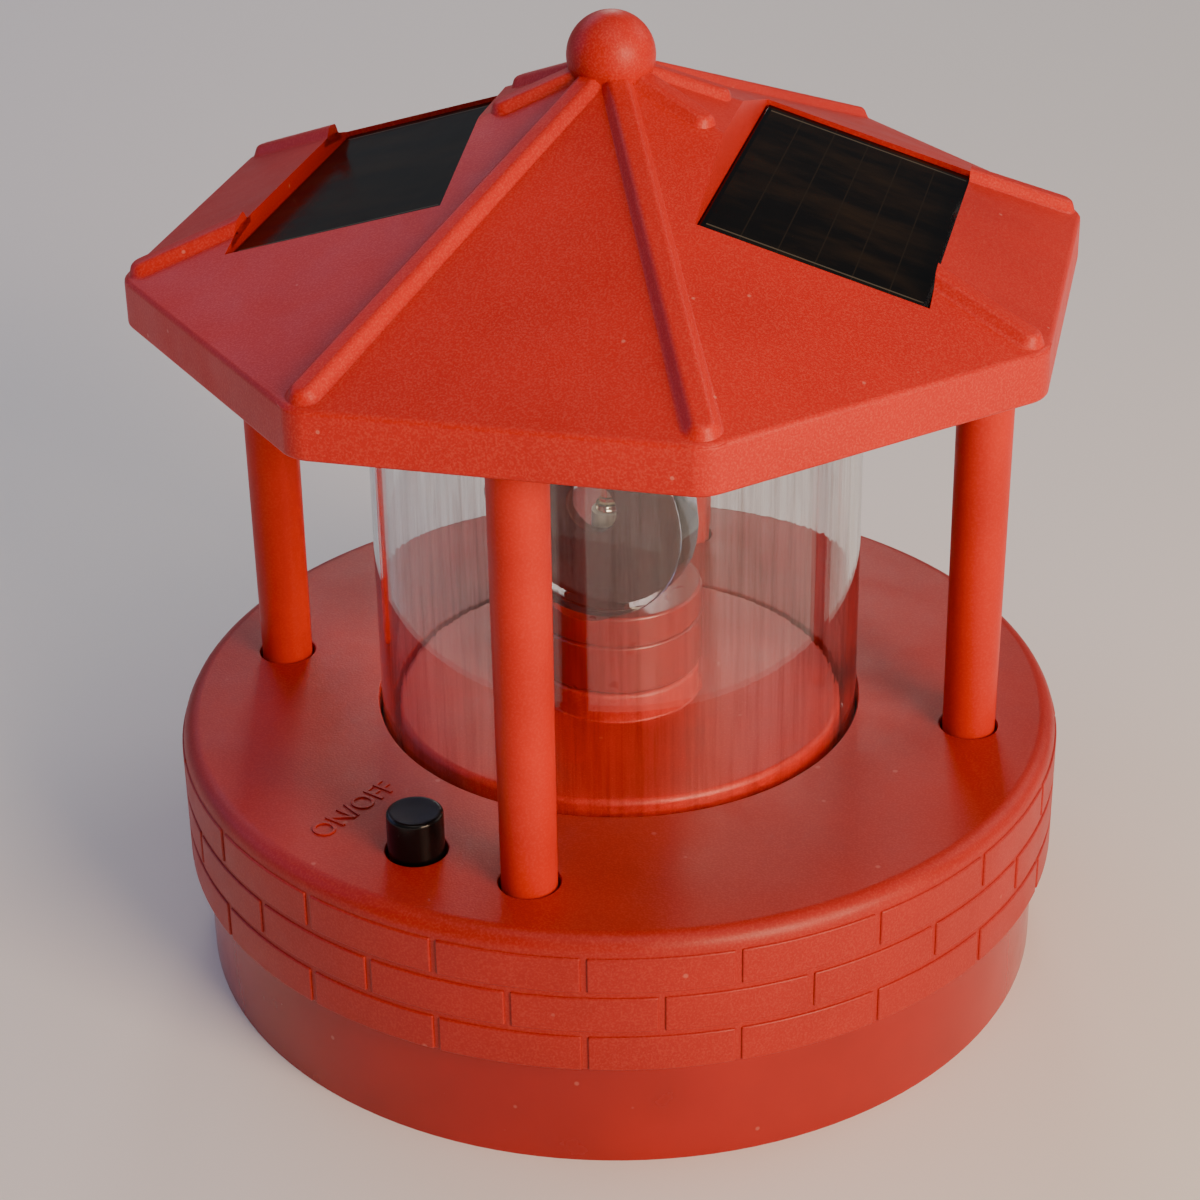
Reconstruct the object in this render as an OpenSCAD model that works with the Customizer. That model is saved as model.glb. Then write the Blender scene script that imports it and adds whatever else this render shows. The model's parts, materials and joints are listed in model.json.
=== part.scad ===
// Solar lighthouse lamp for the garden: an octagonal roof with two solar panels stands on
// four posts over a round brick-banded base. A lens head turns inside a clear tube.
// Millimetres, +Z up, origin at the centre of the underside. The front post stands at -Y.

/* [Base] */
// Outer diameter of the base, over the bricks
base_d = 140; // [126:1:156]
// Wall thickness of the base housing, without the bricks
base_wall = 2.5; // [2:0.1:3.5]
// Height of the deck above the surface that the lamp stands on
deck_z = 40.4; // [39.5:0.1:48]
// Thickness of the deck
deck_t = 2.4; // [2:0.1:3.2]
// Radius of the deck's rounded outer edge
deck_round = 2.4; // [1:0.1:3]
// Ledge on top of the smooth skirt, on which the base housing stands
skirt_ledge = 0.6; // [0.3:0.1:1]
// Height of the skirt, up to the lowest bricks
skirt_h = 18.2; // [16:0.1:20]
// Wall thickness of the skirt and of the lip above it
skirt_wall = 2.2; // [1.8:0.1:2.6]
// Height of the lip that enters the base housing
lip_h = 4; // [3:0.5:6]
// Height of the recess under the floor
floor_z = 2; // [1.8:0.1:2.4]
// Thickness of the floor
floor_t = 2.6; // [2.4:0.1:3]

/* [Bricks] */
// How far the bricks stand out from the wall
brick_relief = 0.6; // [0.3:0.1:1]
// Height of one course, with its mortar joint
brick_pitch = 6.7; // [6:0.1:7]
// Width of the mortar joints
mortar_w = 0.9; // [0.5:0.1:1.4]
// Courses of bricks
brick_courses = 3; // [2:1:3]
// Bricks round each course
bricks_round = 20; // [12:1:28]

/* [Gallery] */
// Free height between the deck and the roof's lower edge
gallery_h = 68.6; // [60:0.5:90]
// Distance of the posts' axes from the inside of the base's wall
post_inset = 10.6; // [10:0.1:10.9]
// Diameter of a post at its foot
post_foot_d = 8.1; // [7.6:0.1:8.6]
// Diameter of a post under the roof
post_top_d = 8.7; // [7.6:0.1:9]
// Bore through a post
post_bore_d = 4; // [3.6:0.1:4.2]
// Gap round a post where it enters the deck
post_gap = 0.45; // [0.3:0.05:0.6]
// Depth of the socket that a post stands in, below the deck's face
post_socket_h = 9.4; // [7:0.1:11]
// Diameter of the spigot on top of a post
post_spigot_d = 6; // [5.6:0.1:6.4]
// Outer diameter of the clear tube
tube_d = 76; // [74:0.5:77]
// Wall thickness of the clear tube
tube_wall = 1.6; // [1.2:0.1:2]
// Depth of the groove for the tube in the deck
groove_h = 4; // [3:0.1:4.4]
// Gap between the tube and the outer wall of its groove
groove_gap = 0.45; // [0.3:0.05:0.8]
// Thickness of the foam seals at the tube's ends
seal_t = 0.8; // [0.5:0.1:1]
// Gap between the raised disc and the inside of the tube
disc_gap = 0.9; // [0.6:0.1:1.6]
// Height of the raised disc above the deck
disc_rise = 1.2; // [0.8:0.1:1.6]

/* [Roof] */
// How far the roof's corners reach past the bricks
roof_over = 2.3; // [1.5:0.1:5]
// Height of the vertical edge of the roof
fascia_h = 7.3; // [7:0.1:9]
// Thickness of that edge
fascia_t = 2.4; // [2:0.1:3]
// Rise of the roof from its edge to its peak
roof_rise = 28.2; // [27.5:0.1:32]
// Thickness of the roof's shell
roof_t = 2.2; // [1.8:0.1:2.4]
// Diameter of the round ribs on the ridges
rib_d = 5; // [4:0.1:5.4]
// How far a rib's top stands above its ridge
rib_rise = 1.2; // [0.8:0.1:1.5]
// Diameter of the ball on the peak
ball_d = 13; // [12:0.5:15]
// Height of the ball's centre above the peak
ball_rise = 0.8; // [0.5:0.1:1.5]
// Diameter of the peg under the ball
peg_d = 4; // [3:0.5:5]
// Height of the ceiling plate above the roof's lower edge
ceiling_rise = 2.6; // [2.4:0.1:2.8]
// Thickness of the ceiling plate
ceiling_t = 1.8; // [1.6:0.1:2]

/* [Solar panels] */
// Length of a panel, along the roof's edge
panel_l = 55; // [50:0.5:56]
// Width of a panel, up the slope
panel_w = 33.4; // [30:0.2:34]
// Thickness of a panel
panel_t = 2.4; // [2:0.1:2.6]
// Tilt of a panel
panel_tilt = 17; // [16:0.5:19]
// Distance of a panel's middle from the flat edge of the roof
panel_inset = 32.6; // [32.2:0.1:33]
// How far a panel's middle lies below the face of the roof
panel_drop = 4.6; // [4.4:0.1:4.8]
// Thickness of the adhesive pads under a panel
pad_t = 0.6; // [0.4:0.1:0.8]
// Gap round a panel in its pocket
panel_gap = 0.25; // [0.15:0.05:0.5]

/* [Lamp head] */
// Diameter of the turning hub
hub_d = 26.4; // [25:0.2:28]
// Height of the hub's lower tier
hub_lower_h = 8.1; // [7:0.1:9]
// Height of the hub's upper tier
hub_upper_h = 5.2; // [5:0.1:6]
// Height of the fixed boss under the hub, above the raised disc
boss_h = 4.9; // [4:0.1:6]
// Bore through the hub
hub_bore_d = 6; // [6:0.1:6.2]
// Outer diameter of the hub's sleeve
sleeve_d = 9; // [8.8:0.1:9.4]
// Diameter of the lens
lens_d = 34; // [30:0.5:36]
// Thickness of the lens at its rim
lens_rim_t = 6.4; // [5.8:0.1:6.6]
// How far the lens bulges in front of its rim
lens_bulge = 2; // [1:0.1:3]
// Distance of the lens's rim face from the hub's axis
lens_front = 11.5; // [11.4:0.1:12]
// Rest direction of the lens, turned from the front post
head_turn = -15; // [-180:1:180]
// Diameter of the fixed stalk inside the hub
stalk_d = 5; // [4.6:0.1:5]
// Bore of the stalk
stalk_bore_d = 3; // [2.8:0.1:3.2]

/* [Drive] */
// Teeth of the gear under the hub
gear_teeth = 42; // [36:1:44]
// Teeth of the motor's pinion
pinion_teeth = 14; // [13:1:16]
// Module of both gears
gear_module = 0.8; // [0.75:0.01:0.82]
// Face width of the gear
gear_face = 4; // [3:0.1:4.4]
// Direction of the motor from the hub's axis
motor_angle = 45; // [40:1:50]
// Diameter of the gear motor
motor_d = 20; // [18:0.5:21]
// Height of the gear motor
motor_h = 13; // [11:0.1:13.4]
// Thickness of the chassis plate
chassis_t = 2; // [1.6:0.1:2.4]
// Radius of the chassis plate
chassis_r = 31; // [30:0.5:32]

/* [Switch and cell] */
// Distance of the push button's axis from the inside of the base's wall
button_inset = 11.9; // [11:0.1:12.4]
// Distance of the push button from the line between the front and back posts
button_aside = 18.2; // [18:0.1:19]
// Diameter of the push button
button_d = 8.4; // [8:0.1:9]
// Height of the button above the deck
button_h = 6.6; // [5:0.1:8]
// Travel of the button
button_travel = 2; // [1.5:0.1:2.5]
// Diameter of the rechargeable cell
cell_d = 14.4; // [14:0.1:14.5]
// Length of the cell without its nub
cell_l = 49.5; // [48:0.1:50]
// Distance of the cell from the lamp's axis
cell_y = 26.2; // [26:0.1:27]

/* [Hidden] */
$fn = 96;

plastic = "#c8402c";
plastic_dark = "#a63224";
steel = "#b9bcc0";
zinc = "#8d9298";
foam = "#2b2b2b";
over = 0.01;            // how far a cut runs past the face that it opens
running = 0.05;         // radial clearance of a turning or sliding fit
fitted = 0.05;          // radial clearance of pieces that are pushed together
seat = 0.3;             // gap between pieces that only lie beside each other

// screws: shank radius, head radius and head height
screw_r = 1.45;
screw_head_r = 2.8;
screw_head_h = 1.6;
post_head_r = 3.4;
screw_pilot_r = screw_r + fitted;
screw_hole_r = 1.7;
small_screw_r = 0.95;
small_head_r = 1.8;
small_head_h = 1.2;
small_pilot_r = small_screw_r + fitted;
small_hole_r = 1.15;
tip_room = 1;           // depth of a pilot hole past the screw's tip
roof_grip = 4;          // how far the screws reach into their bosses
post_grip = 8;
tray_grip = 8;
door_grip = 5;
chassis_grip = 7;
motor_grip = 3;
switch_grip = 4;
board_grip = 3;

// base
wall_r = base_d / 2 - brick_relief;
inner_r = wall_r - base_wall;
skirt_r = inner_r + skirt_ledge;
lip_gap = 0.2;
lip_r = inner_r - lip_gap;
deck_under = deck_z - deck_t;
floor_top = floor_z + floor_t;
tube_r = tube_d / 2;
tube_inner_r = tube_r - tube_wall;
groove_outer_r = tube_r + groove_gap;
groove_inner_r = tube_inner_r - disc_gap;
groove_z = deck_z - groove_h;
groove_wall = 1.8;
disc_z = deck_z + disc_rise;
disc_round = 1;
post_ring_r = inner_r - post_inset;
post_socket_r = post_foot_d / 2 + post_gap;
post_socket_wall = 2.4;
post_socket_z = deck_z - post_socket_h;
socket_floor_t = 1.6;
tray_boss_r = 3.6;
tray_boss_ring = lip_r - skirt_wall - tray_boss_r - 1.4;
tray_boss_angles = [45, 135, 231, 309];

// lamp head, from the deck upwards
boss_r = hub_d / 2 - 0.2;
boss_top = disc_z + boss_h;
bush_flange_t = 0.3;
hub_z = boss_top + bush_flange_t + 0.1;
hub_mid_z = hub_z + hub_lower_h;
hub_top_z = hub_mid_z + hub_upper_h;
hub_r = hub_d / 2;
sleeve_r = sleeve_d / 2;
bush_wall = 2;
bush_r = sleeve_r + running + bush_wall;
bush_flange_r = 9;
bush_boss_r = bush_r + 3;
bush_under = deck_under - 4.6;
lens_r = lens_d / 2;
lens_sunk = 0.7;        // how deep the lens lies in its saddle in the upper tier
lens_z = hub_top_z - lens_sunk + lens_r;
lens_back = lens_front - lens_rim_t;
holder_t = 1.8;
holder_r = lens_r - 1.2;
holder_window_r = 4;
holder_foot_w = 10;
holder_foot_h = 3;
register_r = 8;         // spigot that centres the upper tier on the lower one
register_h = 2;
led_r = 1.5;
led_h = 5;

// drive, hung below the deck
gear_top = bush_under - seat;
gear_z = gear_top - gear_face;
pitch_r = gear_module * gear_teeth / 2;
pinion_pitch_r = gear_module * pinion_teeth / 2;
gear_backlash = 0.2;
gear_distance = pitch_r + pinion_pitch_r + 0.1;
gear_head = 0.75;       // tooth height above the pitch circle, in modules
gear_foot = 1.15;       // tooth depth below the pitch circle, in modules
pressure_angle = 20;
clip_t = 0.8;
clip_z = gear_z - 0.2 - clip_t;
clip_r = 6.2;
clip_groove = 0.8;      // depth of the clip's groove in the sleeve
sleeve_end = clip_z - 1.1;
chassis_top = sleeve_end - 6.5;
chassis_z = chassis_top - chassis_t;
chassis_cut_y = -15.5;
chassis_ring = 26.5;
chassis_boss_r = 3.2;
chassis_angles = [90, 200, 340];
collar_r = 5.5;
collar_h = 3.5;
motor_r = motor_d / 2;
motor_at = on_ring(gear_distance, motor_angle);
motor_shaft_foot = 3;   // height of the shaft's bore above the motor's underside
motor_shaft_r = 1;
motor_screw_ring = 7;
motor_hole_r = 3;
pinion_over = 0.2;      // how far the pinion stands past each face of the gear
pinion_boss_r = 3;
pinion_boss_h = 2.4;
stalk_r = stalk_d / 2;
stalk_bore_r = stalk_bore_d / 2;
stalk_flange_r = 4.6;
stalk_flange_t = 1.6;
led_z = lens_z - led_h / 2;

// roof, from its lower edge upwards
roof_z = deck_z + gallery_h;
eave_z = roof_z + fascia_h;
peak_z = eave_z + roof_rise;
roof_r = base_d / 2 + roof_over;
half = 22.5;            // half of the angle that one side of the octagon takes
flat_r = roof_r * cos(half);
slope = atan(roof_rise / flat_r);
ridge_slope = atan(roof_rise / roof_r);
rib_r = rib_d / 2;
rib_end = roof_r - rib_r + 0.2;
ball_r = ball_d / 2;
ball_z = peak_z + ball_rise;
peg_r = peg_d / 2;
peg_l = 9;
peak_boss_r = 5.6;
peak_boss_h = 10;
ceiling_z = roof_z + ceiling_rise;
ceiling_top = ceiling_z + ceiling_t;
ceiling_gap = 0.3;
ceiling_groove_wall = 1.2;
ceiling_groove_h = 2.2;
roof_boss_r = 3.4;
roof_boss_ring = 50;
roof_boss_angles = [45, 135, 225, 315];
post_spigot_r = post_spigot_d / 2;
post_bore_r = post_bore_d / 2;
tube_foot_z = groove_z + seal_t;
tube_top_z = ceiling_z - seal_t;

// solar panels: the middle of the panel's face, and the pocket that it lies in
panel_x = flat_r - panel_inset;
panel_z = peak_z - panel_x * tan(slope) - panel_drop;
pocket_l = panel_l + 2 * panel_gap;
pocket_w = panel_w + 2 * panel_gap;
pocket_depth = panel_t + pad_t;
pocket_wall = 1.8;
pocket_above = 15;      // reach of the pocket's cut above the panel's middle
pad_w = 8;
pad_inset = 3;
lead_hole_r = 1.3;
lead_hole_u = 13.4;     // place of the lead's hole, down the slope from the panel's middle

// switch
button_ring_r = inner_r - button_inset;
button_angle = -90 - asin(button_aside / button_ring_r);
button_r = button_d / 2;
button_hole_r = button_r + 0.4;
button_top = deck_z + button_h;
switch_top = deck_under - 6;
switch_w = 12;
switch_h = 9.5;
switch_ear_t = 2;
switch_ear_x = 9;
switch_boss_r = 2.8;
switch_pin_h = 2.5;
plunger_r = 2.2;
plunger_into_cap = 3;
plunger_sunk = 5;
cap_under = switch_top + button_travel + 1.6;

// cell box in the tray, with the cell along X
cell_r = cell_d / 2;
cell_z = floor_top + seat + cell_r;
box_w = cell_d + 1.6;
box_wall = 1.6;
box_half = 29.5;
box_top = floor_top + seat + cell_d + 1.1;
nub_r = 2.75;
nub_l = 1.1;
contact_t = 0.4;
contact_w = 12;
tab_w = 3;
tab_rise = 1.2;
cell_end_x = box_half - contact_t - seat - nub_l;
spring_r = 4;
spring_wire = 0.8;
spring_turns = 4;
door_half = 42;
door_w = box_w + 6;
door_t = 1.4;
door_gap = 0.3;
door_screw_x = 37;
door_boss_r = 3.6;
door_boss_h = 8;

// circuit board on the tray
board_x = -30;
board_y = 20;
board_l = 34;
board_w = 24;
board_t = 1.6;
board_z = floor_top + 4.4;
board_top = board_z + board_t;
board_screw_dx = 14;
board_boss_r = 2.6;
lead_d = 1.4;
lead_sides = 8;
lead_end = board_top + seat;
lead_drop = board_top + 3.5;    // height from which a lead comes straight down to the board
function on_board(dx, dy) = [[board_x + dx, board_y + dy, lead_drop], [board_x + dx, board_y + dy, lead_end]];
lead_bed = ceiling_top + lead_d / 2 + 0.35;
// the point where a panel's lead meets the panel's underside
lead_start = [panel_x + lead_hole_u * cos(panel_tilt) - (panel_t + seat) * sin(panel_tilt), 0,
    panel_z - lead_hole_u * sin(panel_tilt) - (panel_t + seat) * cos(panel_tilt)];

// ---- helpers ----

module tube_ring(outer, inner, h) {
    difference() {
        cylinder(r = outer, h = h);
        translate([0, 0, -over]) cylinder(r = inner, h = h + 2 * over);
    }
}

// one screw with its head's underside at z = 0 and its shank above it
module screw_up(shank_l, shank_r = screw_r, head_r = screw_head_r, head_h = screw_head_h) {
    cylinder(r = shank_r, h = shank_l);
    difference() {
        translate([0, 0, -head_h]) cylinder(r = head_r, h = head_h);
        translate([-head_r, -0.3, -head_h - over]) cube([2 * head_r, 0.6, 0.5]);
    }
}

function on_ring(r, a, z = 0) = [r * cos(a), r * sin(a), z];

// place children at the middle of the right-hand panel's face, x down the slope
module at_panel(side) {
    rotate([0, 0, side > 0 ? 0 : 180])
        translate([panel_x, 0, panel_z])
            rotate([0, panel_tilt, 0]) children();
}

// involute teeth as an outline, with a tooth centred on +X
function involute(a) = tan(a) * 180 / PI - a;
function tooth_half_angle(teeth, r) =
    let (pitch = gear_module * teeth / 2,
         base = pitch * cos(pressure_angle),
         a = r > base ? acos(base / r) : 0,
         thinned = 90 / teeth - gear_backlash / 4 / pitch * 180 / PI)
    thinned + involute(pressure_angle) - involute(a);
function gear_outline(teeth) =
    let (pitch = gear_module * teeth / 2,
         foot = pitch - gear_foot * gear_module,
         base = max(pitch * cos(pressure_angle), foot + 0.05),
         tip = pitch + gear_head * gear_module,
         radii = [foot, base, (base + tip) / 2, tip])
    [for (tooth = [0:teeth - 1], side = [-1, 1], i = [0:3])
        let (r = radii[side < 0 ? i : 3 - i],
             a = 360 * tooth / teeth + side * tooth_half_angle(teeth, r))
        [r * cos(a), r * sin(a)]];

// a round lead swept along a path of points, its corners cut twice
function unit(v) = v / norm(v);
function cut_corners(p) = [
    p[0],
    for (i = [0:len(p) - 2]) each [0.75 * p[i] + 0.25 * p[i + 1], 0.25 * p[i] + 0.75 * p[i + 1]],
    p[len(p) - 1]];
function along(p) = [for (i = [0:len(p) - 1]) unit(p[min(i + 1, len(p) - 1)] - p[max(i - 1, 0)])];
function square_to(n, t) = unit(n - (n * t) * t);
function side_vectors(t) = [
    for (i = 0, n = square_to(abs(t[0][2]) > 0.9 ? [1, 0, 0] : [0, 0, 1], t[0]);
         i < len(t);
         i = i + 1, n = i < len(t) ? square_to(n, t[i]) : n) n];

module swept(points, d, sides = lead_sides) {
    t = along(points);
    n = side_vectors(t);
    last = len(points) - 1;
    rings = [for (i = [0:last], k = [0:sides - 1])
        points[i] + d / 2 * (cos(360 * k / sides) * n[i] + sin(360 * k / sides) * cross(t[i], n[i]))];
    walls = [for (i = [0:last - 1], k = [0:sides - 1])
        let (a = i * sides + k, b = i * sides + (k + 1) % sides)
        each [[a, a + sides, b], [b, a + sides, b + sides]]];
    first_cap = [for (k = [0:sides - 1]) k];
    last_cap = [for (k = [sides - 1:-1:0]) last * sides + k];
    polyhedron(points = rings, faces = concat(walls, [first_cap, last_cap]));
}

module lead(path, d = lead_d) {
    swept(cut_corners(cut_corners(path)), d);
}

// ---- roof ----

module octagon(r) {
    rotate(half) circle(r = r, $fn = 8);
}

module roof_solid(r, low_z, edge_z, top_z) {
    translate([0, 0, low_z]) linear_extrude(height = edge_z - low_z + over) octagon(r);
    translate([0, 0, edge_z]) linear_extrude(height = top_z - edge_z, scale = 0.004) octagon(r);
}

module roof_outside() {
    roof_solid(roof_r, roof_z, eave_z, peak_z);
}

module roof_inside() {
    drop = roof_t / cos(slope);
    inner_r = roof_r - fascia_t / cos(half);
    inner_edge = eave_z - drop + fascia_t * tan(slope);
    roof_solid(inner_r, roof_z - over, inner_edge, peak_z - drop);
}

module rib() {
    sink = rib_r - rib_rise;
    end_z = peak_z - rib_end * tan(ridge_slope) - sink / cos(ridge_slope);
    length = rib_end / cos(ridge_slope);
    translate([rib_end, 0, end_z]) {
        sphere(r = rib_r, $fn = 32);
        rotate([0, -90 + ridge_slope, 0]) cylinder(r = rib_r, h = length, $fn = 32);
    }
}

// the bed that a panel lies in, grown by a wall on every side, and open straight upwards
module pocket(side, wall) {
    span = pocket_w * cos(panel_tilt) + 2 * wall;
    length = pocket_l + 2 * wall;
    at_panel(side) translate([-pocket_w / 2 - wall, -length / 2, -pocket_depth - wall])
        cube([pocket_w + 2 * wall, length, pocket_depth + wall]);
    difference() {
        rotate(side > 0 ? 0 : 180)
            translate([panel_x - span / 2, -length / 2, panel_z - pocket_above])
                cube([span, length, 2 * pocket_above]);
        at_panel(side) translate([-pocket_w, -pocket_l, -2 * pocket_above - over])
            cube([2 * pocket_w, 2 * pocket_l, 2 * pocket_above]);
    }
}

module roof_cap() {
    color(plastic) difference() {
        union() {
            difference() {
                union() {
                    roof_outside();
                    for (i = [0:7]) rotate(half + 45 * i) rib();
                }
                roof_inside();
            }
            intersection() {
                roof_outside();
                for (side = [-1, 1]) pocket(side, pocket_wall);
            }
            intersection() {
                roof_outside();
                union() {
                    translate([0, 0, peak_z - peak_boss_h]) cylinder(r = peak_boss_r, h = peak_boss_h);
                    for (a = roof_boss_angles) translate(on_ring(roof_boss_ring, a, ceiling_top))
                        cylinder(r = roof_boss_r, h = peak_z - ceiling_top);
                }
            }
        }
        for (side = [-1, 1]) {
            pocket(side, 0);
            at_panel(side) translate([lead_hole_u, 0, -pocket_depth - pocket_wall - 1])
                cylinder(r = lead_hole_r, h = pocket_wall + 2);
        }
        for (a = roof_boss_angles) translate(on_ring(roof_boss_ring, a, ceiling_top - over))
            cylinder(r = screw_pilot_r, h = roof_grip + tip_room);
        translate([0, 0, ball_z]) sphere(r = ball_r + fitted);
        translate([0, 0, peak_z - peak_boss_h - over]) cylinder(r = peg_r + fitted, h = peak_boss_h);
    }
}

module roof_finial() {
    color(plastic) {
        translate([0, 0, ball_z]) sphere(r = ball_r);
        translate([0, 0, ball_z - ball_r - peg_l + 4]) cylinder(r = peg_r, h = peg_l);
    }
}

module roof_ceiling() {
    ring_z = ceiling_z - ceiling_groove_h;
    plate_r = roof_r - (fascia_t + ceiling_gap) / cos(half);
    color(plastic_dark) difference() {
        union() {
            translate([0, 0, ceiling_z]) linear_extrude(height = ceiling_t) octagon(plate_r);
            translate([0, 0, ring_z])
                tube_ring(groove_outer_r + ceiling_groove_wall, groove_outer_r, ceiling_groove_h + over);
            translate([0, 0, ring_z])
                tube_ring(groove_inner_r, groove_inner_r - ceiling_groove_wall, ceiling_groove_h + over);
        }
        for (a = roof_boss_angles) translate(on_ring(roof_boss_ring, a, ceiling_z - over))
            cylinder(r = screw_hole_r, h = ceiling_t + 2 * over);
        for (a = [0, 90, 180, 270]) translate(on_ring(post_ring_r, a, ceiling_z - over))
            cylinder(r = post_spigot_r + fitted, h = ceiling_t + 2 * over);
    }
}

module ceiling_screws() {
    color(steel) for (a = roof_boss_angles)
        translate(on_ring(roof_boss_ring, a, ceiling_z)) screw_up(ceiling_t + roof_grip);
}

module solar_panel(side) {
    color("#15171c") at_panel(side)
        translate([-panel_w / 2, -panel_l / 2, -panel_t]) cube([panel_w, panel_l, panel_t]);
}

module panel_pad(side) {
    color(foam) at_panel(side) for (end = [-1, 1])
        translate([-panel_w / 2 + pad_inset, end * (panel_l / 2 - pad_inset - pad_w / 2) - pad_w / 2, -pocket_depth])
            cube([panel_w - 2 * pad_inset, pad_w, pad_t]);
}

module solar_panel_right() { solar_panel(1); }
module solar_panel_left() { solar_panel(-1); }
module panel_pad_right() { panel_pad(1); }
module panel_pad_left() { panel_pad(-1); }

// ---- posts and tube ----

module post(angle) {
    color(plastic) translate(on_ring(post_ring_r, angle)) difference() {
        union() {
            translate([0, 0, post_socket_z])
                cylinder(r1 = post_foot_d / 2, r2 = post_top_d / 2, h = ceiling_z - post_socket_z);
            translate([0, 0, ceiling_z - 1]) cylinder(r = post_spigot_r, h = ceiling_t + 1);
        }
        translate([0, 0, post_socket_z - over])
            cylinder(r = post_bore_r, h = ceiling_top - post_socket_z + 2 * over);
    }
}

module post_front() { post(270); }
module post_right() { post(0); }
module post_back() { post(90); }
module post_left() { post(180); }

module post_screws() {
    color(steel) for (a = [90, 270])
        translate(on_ring(post_ring_r, a, post_socket_z - socket_floor_t))
            screw_up(socket_floor_t + post_grip, post_bore_r - fitted, post_head_r);
}

module lamp_tube() {
    color("#dfe8ea", 0.3) translate([0, 0, tube_foot_z])
        tube_ring(tube_r, tube_inner_r, tube_top_z - tube_foot_z);
}

module tube_seal(z) {
    color(foam) translate([0, 0, z])
        tube_ring(groove_outer_r - 0.1, groove_inner_r + 0.1, seal_t);
}

module tube_seal_lower() { tube_seal(groove_z); }
module tube_seal_upper() { tube_seal(tube_top_z); }

// ---- base ----

module deck_section() {
    boss_round = 0.8;
    difference() {
        union() {
            // wall and deck with the rounded edge between them
            translate([0, skirt_h]) square([wall_r, deck_z - deck_round - skirt_h]);
            translate([0, deck_z - deck_round - over]) square([wall_r - deck_round, deck_round + over]);
            translate([wall_r - deck_round, deck_z - deck_round]) circle(r = deck_round);
            // raised disc with its rounded edge
            square([groove_inner_r - disc_round, disc_z]);
            square([groove_inner_r, disc_z - disc_round]);
            translate([groove_inner_r - disc_round, disc_z - disc_round]) circle(r = disc_round);
            // fixed boss under the lamp head
            square([boss_r - boss_round, boss_top]);
            square([boss_r, boss_top - boss_round]);
            translate([boss_r - boss_round, boss_top - boss_round]) circle(r = boss_round);
        }
        // groove for the tube
        translate([groove_inner_r, groove_z])
            square([groove_outer_r - groove_inner_r, deck_z - groove_z + disc_rise + 1]);
        // room below the deck, round the groove's channel and the boss
        channel_in = groove_inner_r - groove_wall;
        channel_out = groove_outer_r + groove_wall;
        channel_z = groove_z - groove_wall;
        translate([channel_out, -over]) square([inner_r - channel_out, deck_under + over]);
        translate([channel_in - over, -over]) square([channel_out - channel_in + 2 * over, channel_z + over]);
        translate([bush_boss_r, -over]) square([channel_in - bush_boss_r, deck_under + over]);
        translate([-over, -over]) square([bush_boss_r + 2 * over, bush_under + over]);
        // bore for the bush
        translate([-over, 0]) square([bush_r + over, boss_top + 1]);
    }
}

module brick_course(course) {
    low = skirt_h + course * brick_pitch;
    turn = course % 2 == 0 ? 180 / bricks_round : 0;
    joint_l = 3 * brick_relief;
    difference() {
        translate([0, 0, low]) tube_ring(wall_r + brick_relief, wall_r - 0.5, brick_pitch - mortar_w);
        for (i = [0:bricks_round - 1]) rotate(turn + 360 / bricks_round * i)
            translate([wall_r, -mortar_w / 2, low - 1]) cube([joint_l, mortar_w, brick_pitch + 2]);
    }
}

module base_housing() {
    color(plastic) difference() {
        union() {
            rotate_extrude() deck_section();
            for (course = [0:brick_courses - 1]) brick_course(course);
            for (a = [0, 90, 180, 270]) translate(on_ring(post_ring_r, a, post_socket_z - socket_floor_t))
                cylinder(r = post_socket_r + post_socket_wall, h = deck_z - 1 - post_socket_z + socket_floor_t);
            for (a = tray_boss_angles) translate(on_ring(tray_boss_ring, a, floor_top))
                cylinder(r = tray_boss_r, h = deck_under + 1 - floor_top);
            for (a = chassis_angles) translate(on_ring(chassis_ring, a, chassis_top))
                cylinder(r = chassis_boss_r, h = deck_under + 1 - chassis_top);
            at_switch() for (side = [-1, 1]) translate([0, side * switch_ear_x, switch_top])
                cylinder(r = switch_boss_r, h = deck_under + 1 - switch_top);
        }
        for (a = [0, 90, 180, 270]) translate(on_ring(post_ring_r, a, post_socket_z))
            cylinder(r = post_socket_r, h = post_socket_h + 1);
        for (a = [0, 90, 180, 270]) translate(on_ring(post_ring_r, a, post_socket_z - socket_floor_t - over))
            cylinder(r = post_bore_r + 0.1, h = socket_floor_t + 1);
        for (a = tray_boss_angles) translate(on_ring(tray_boss_ring, a, floor_top - over))
            cylinder(r = screw_pilot_r, h = tray_grip + tip_room);
        for (a = chassis_angles) translate(on_ring(chassis_ring, a, chassis_top - over))
            cylinder(r = screw_pilot_r, h = chassis_grip + tip_room);
        at_switch() {
            translate([0, 0, deck_under - 1]) cylinder(r = button_hole_r, h = deck_t + 2);
            for (side = [-1, 1]) translate([0, side * switch_ear_x, switch_top - over])
                cylinder(r = small_pilot_r, h = switch_grip + tip_room);
        }
    }
}

module tray_section() {
    translate([skirt_r - skirt_wall, 0]) square([skirt_wall, skirt_h]);
    translate([lip_r - skirt_wall, skirt_h - 3]) square([skirt_wall, lip_h + 3]);
    translate([0, floor_z]) square([skirt_r - 1, floor_t]);
}

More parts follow.
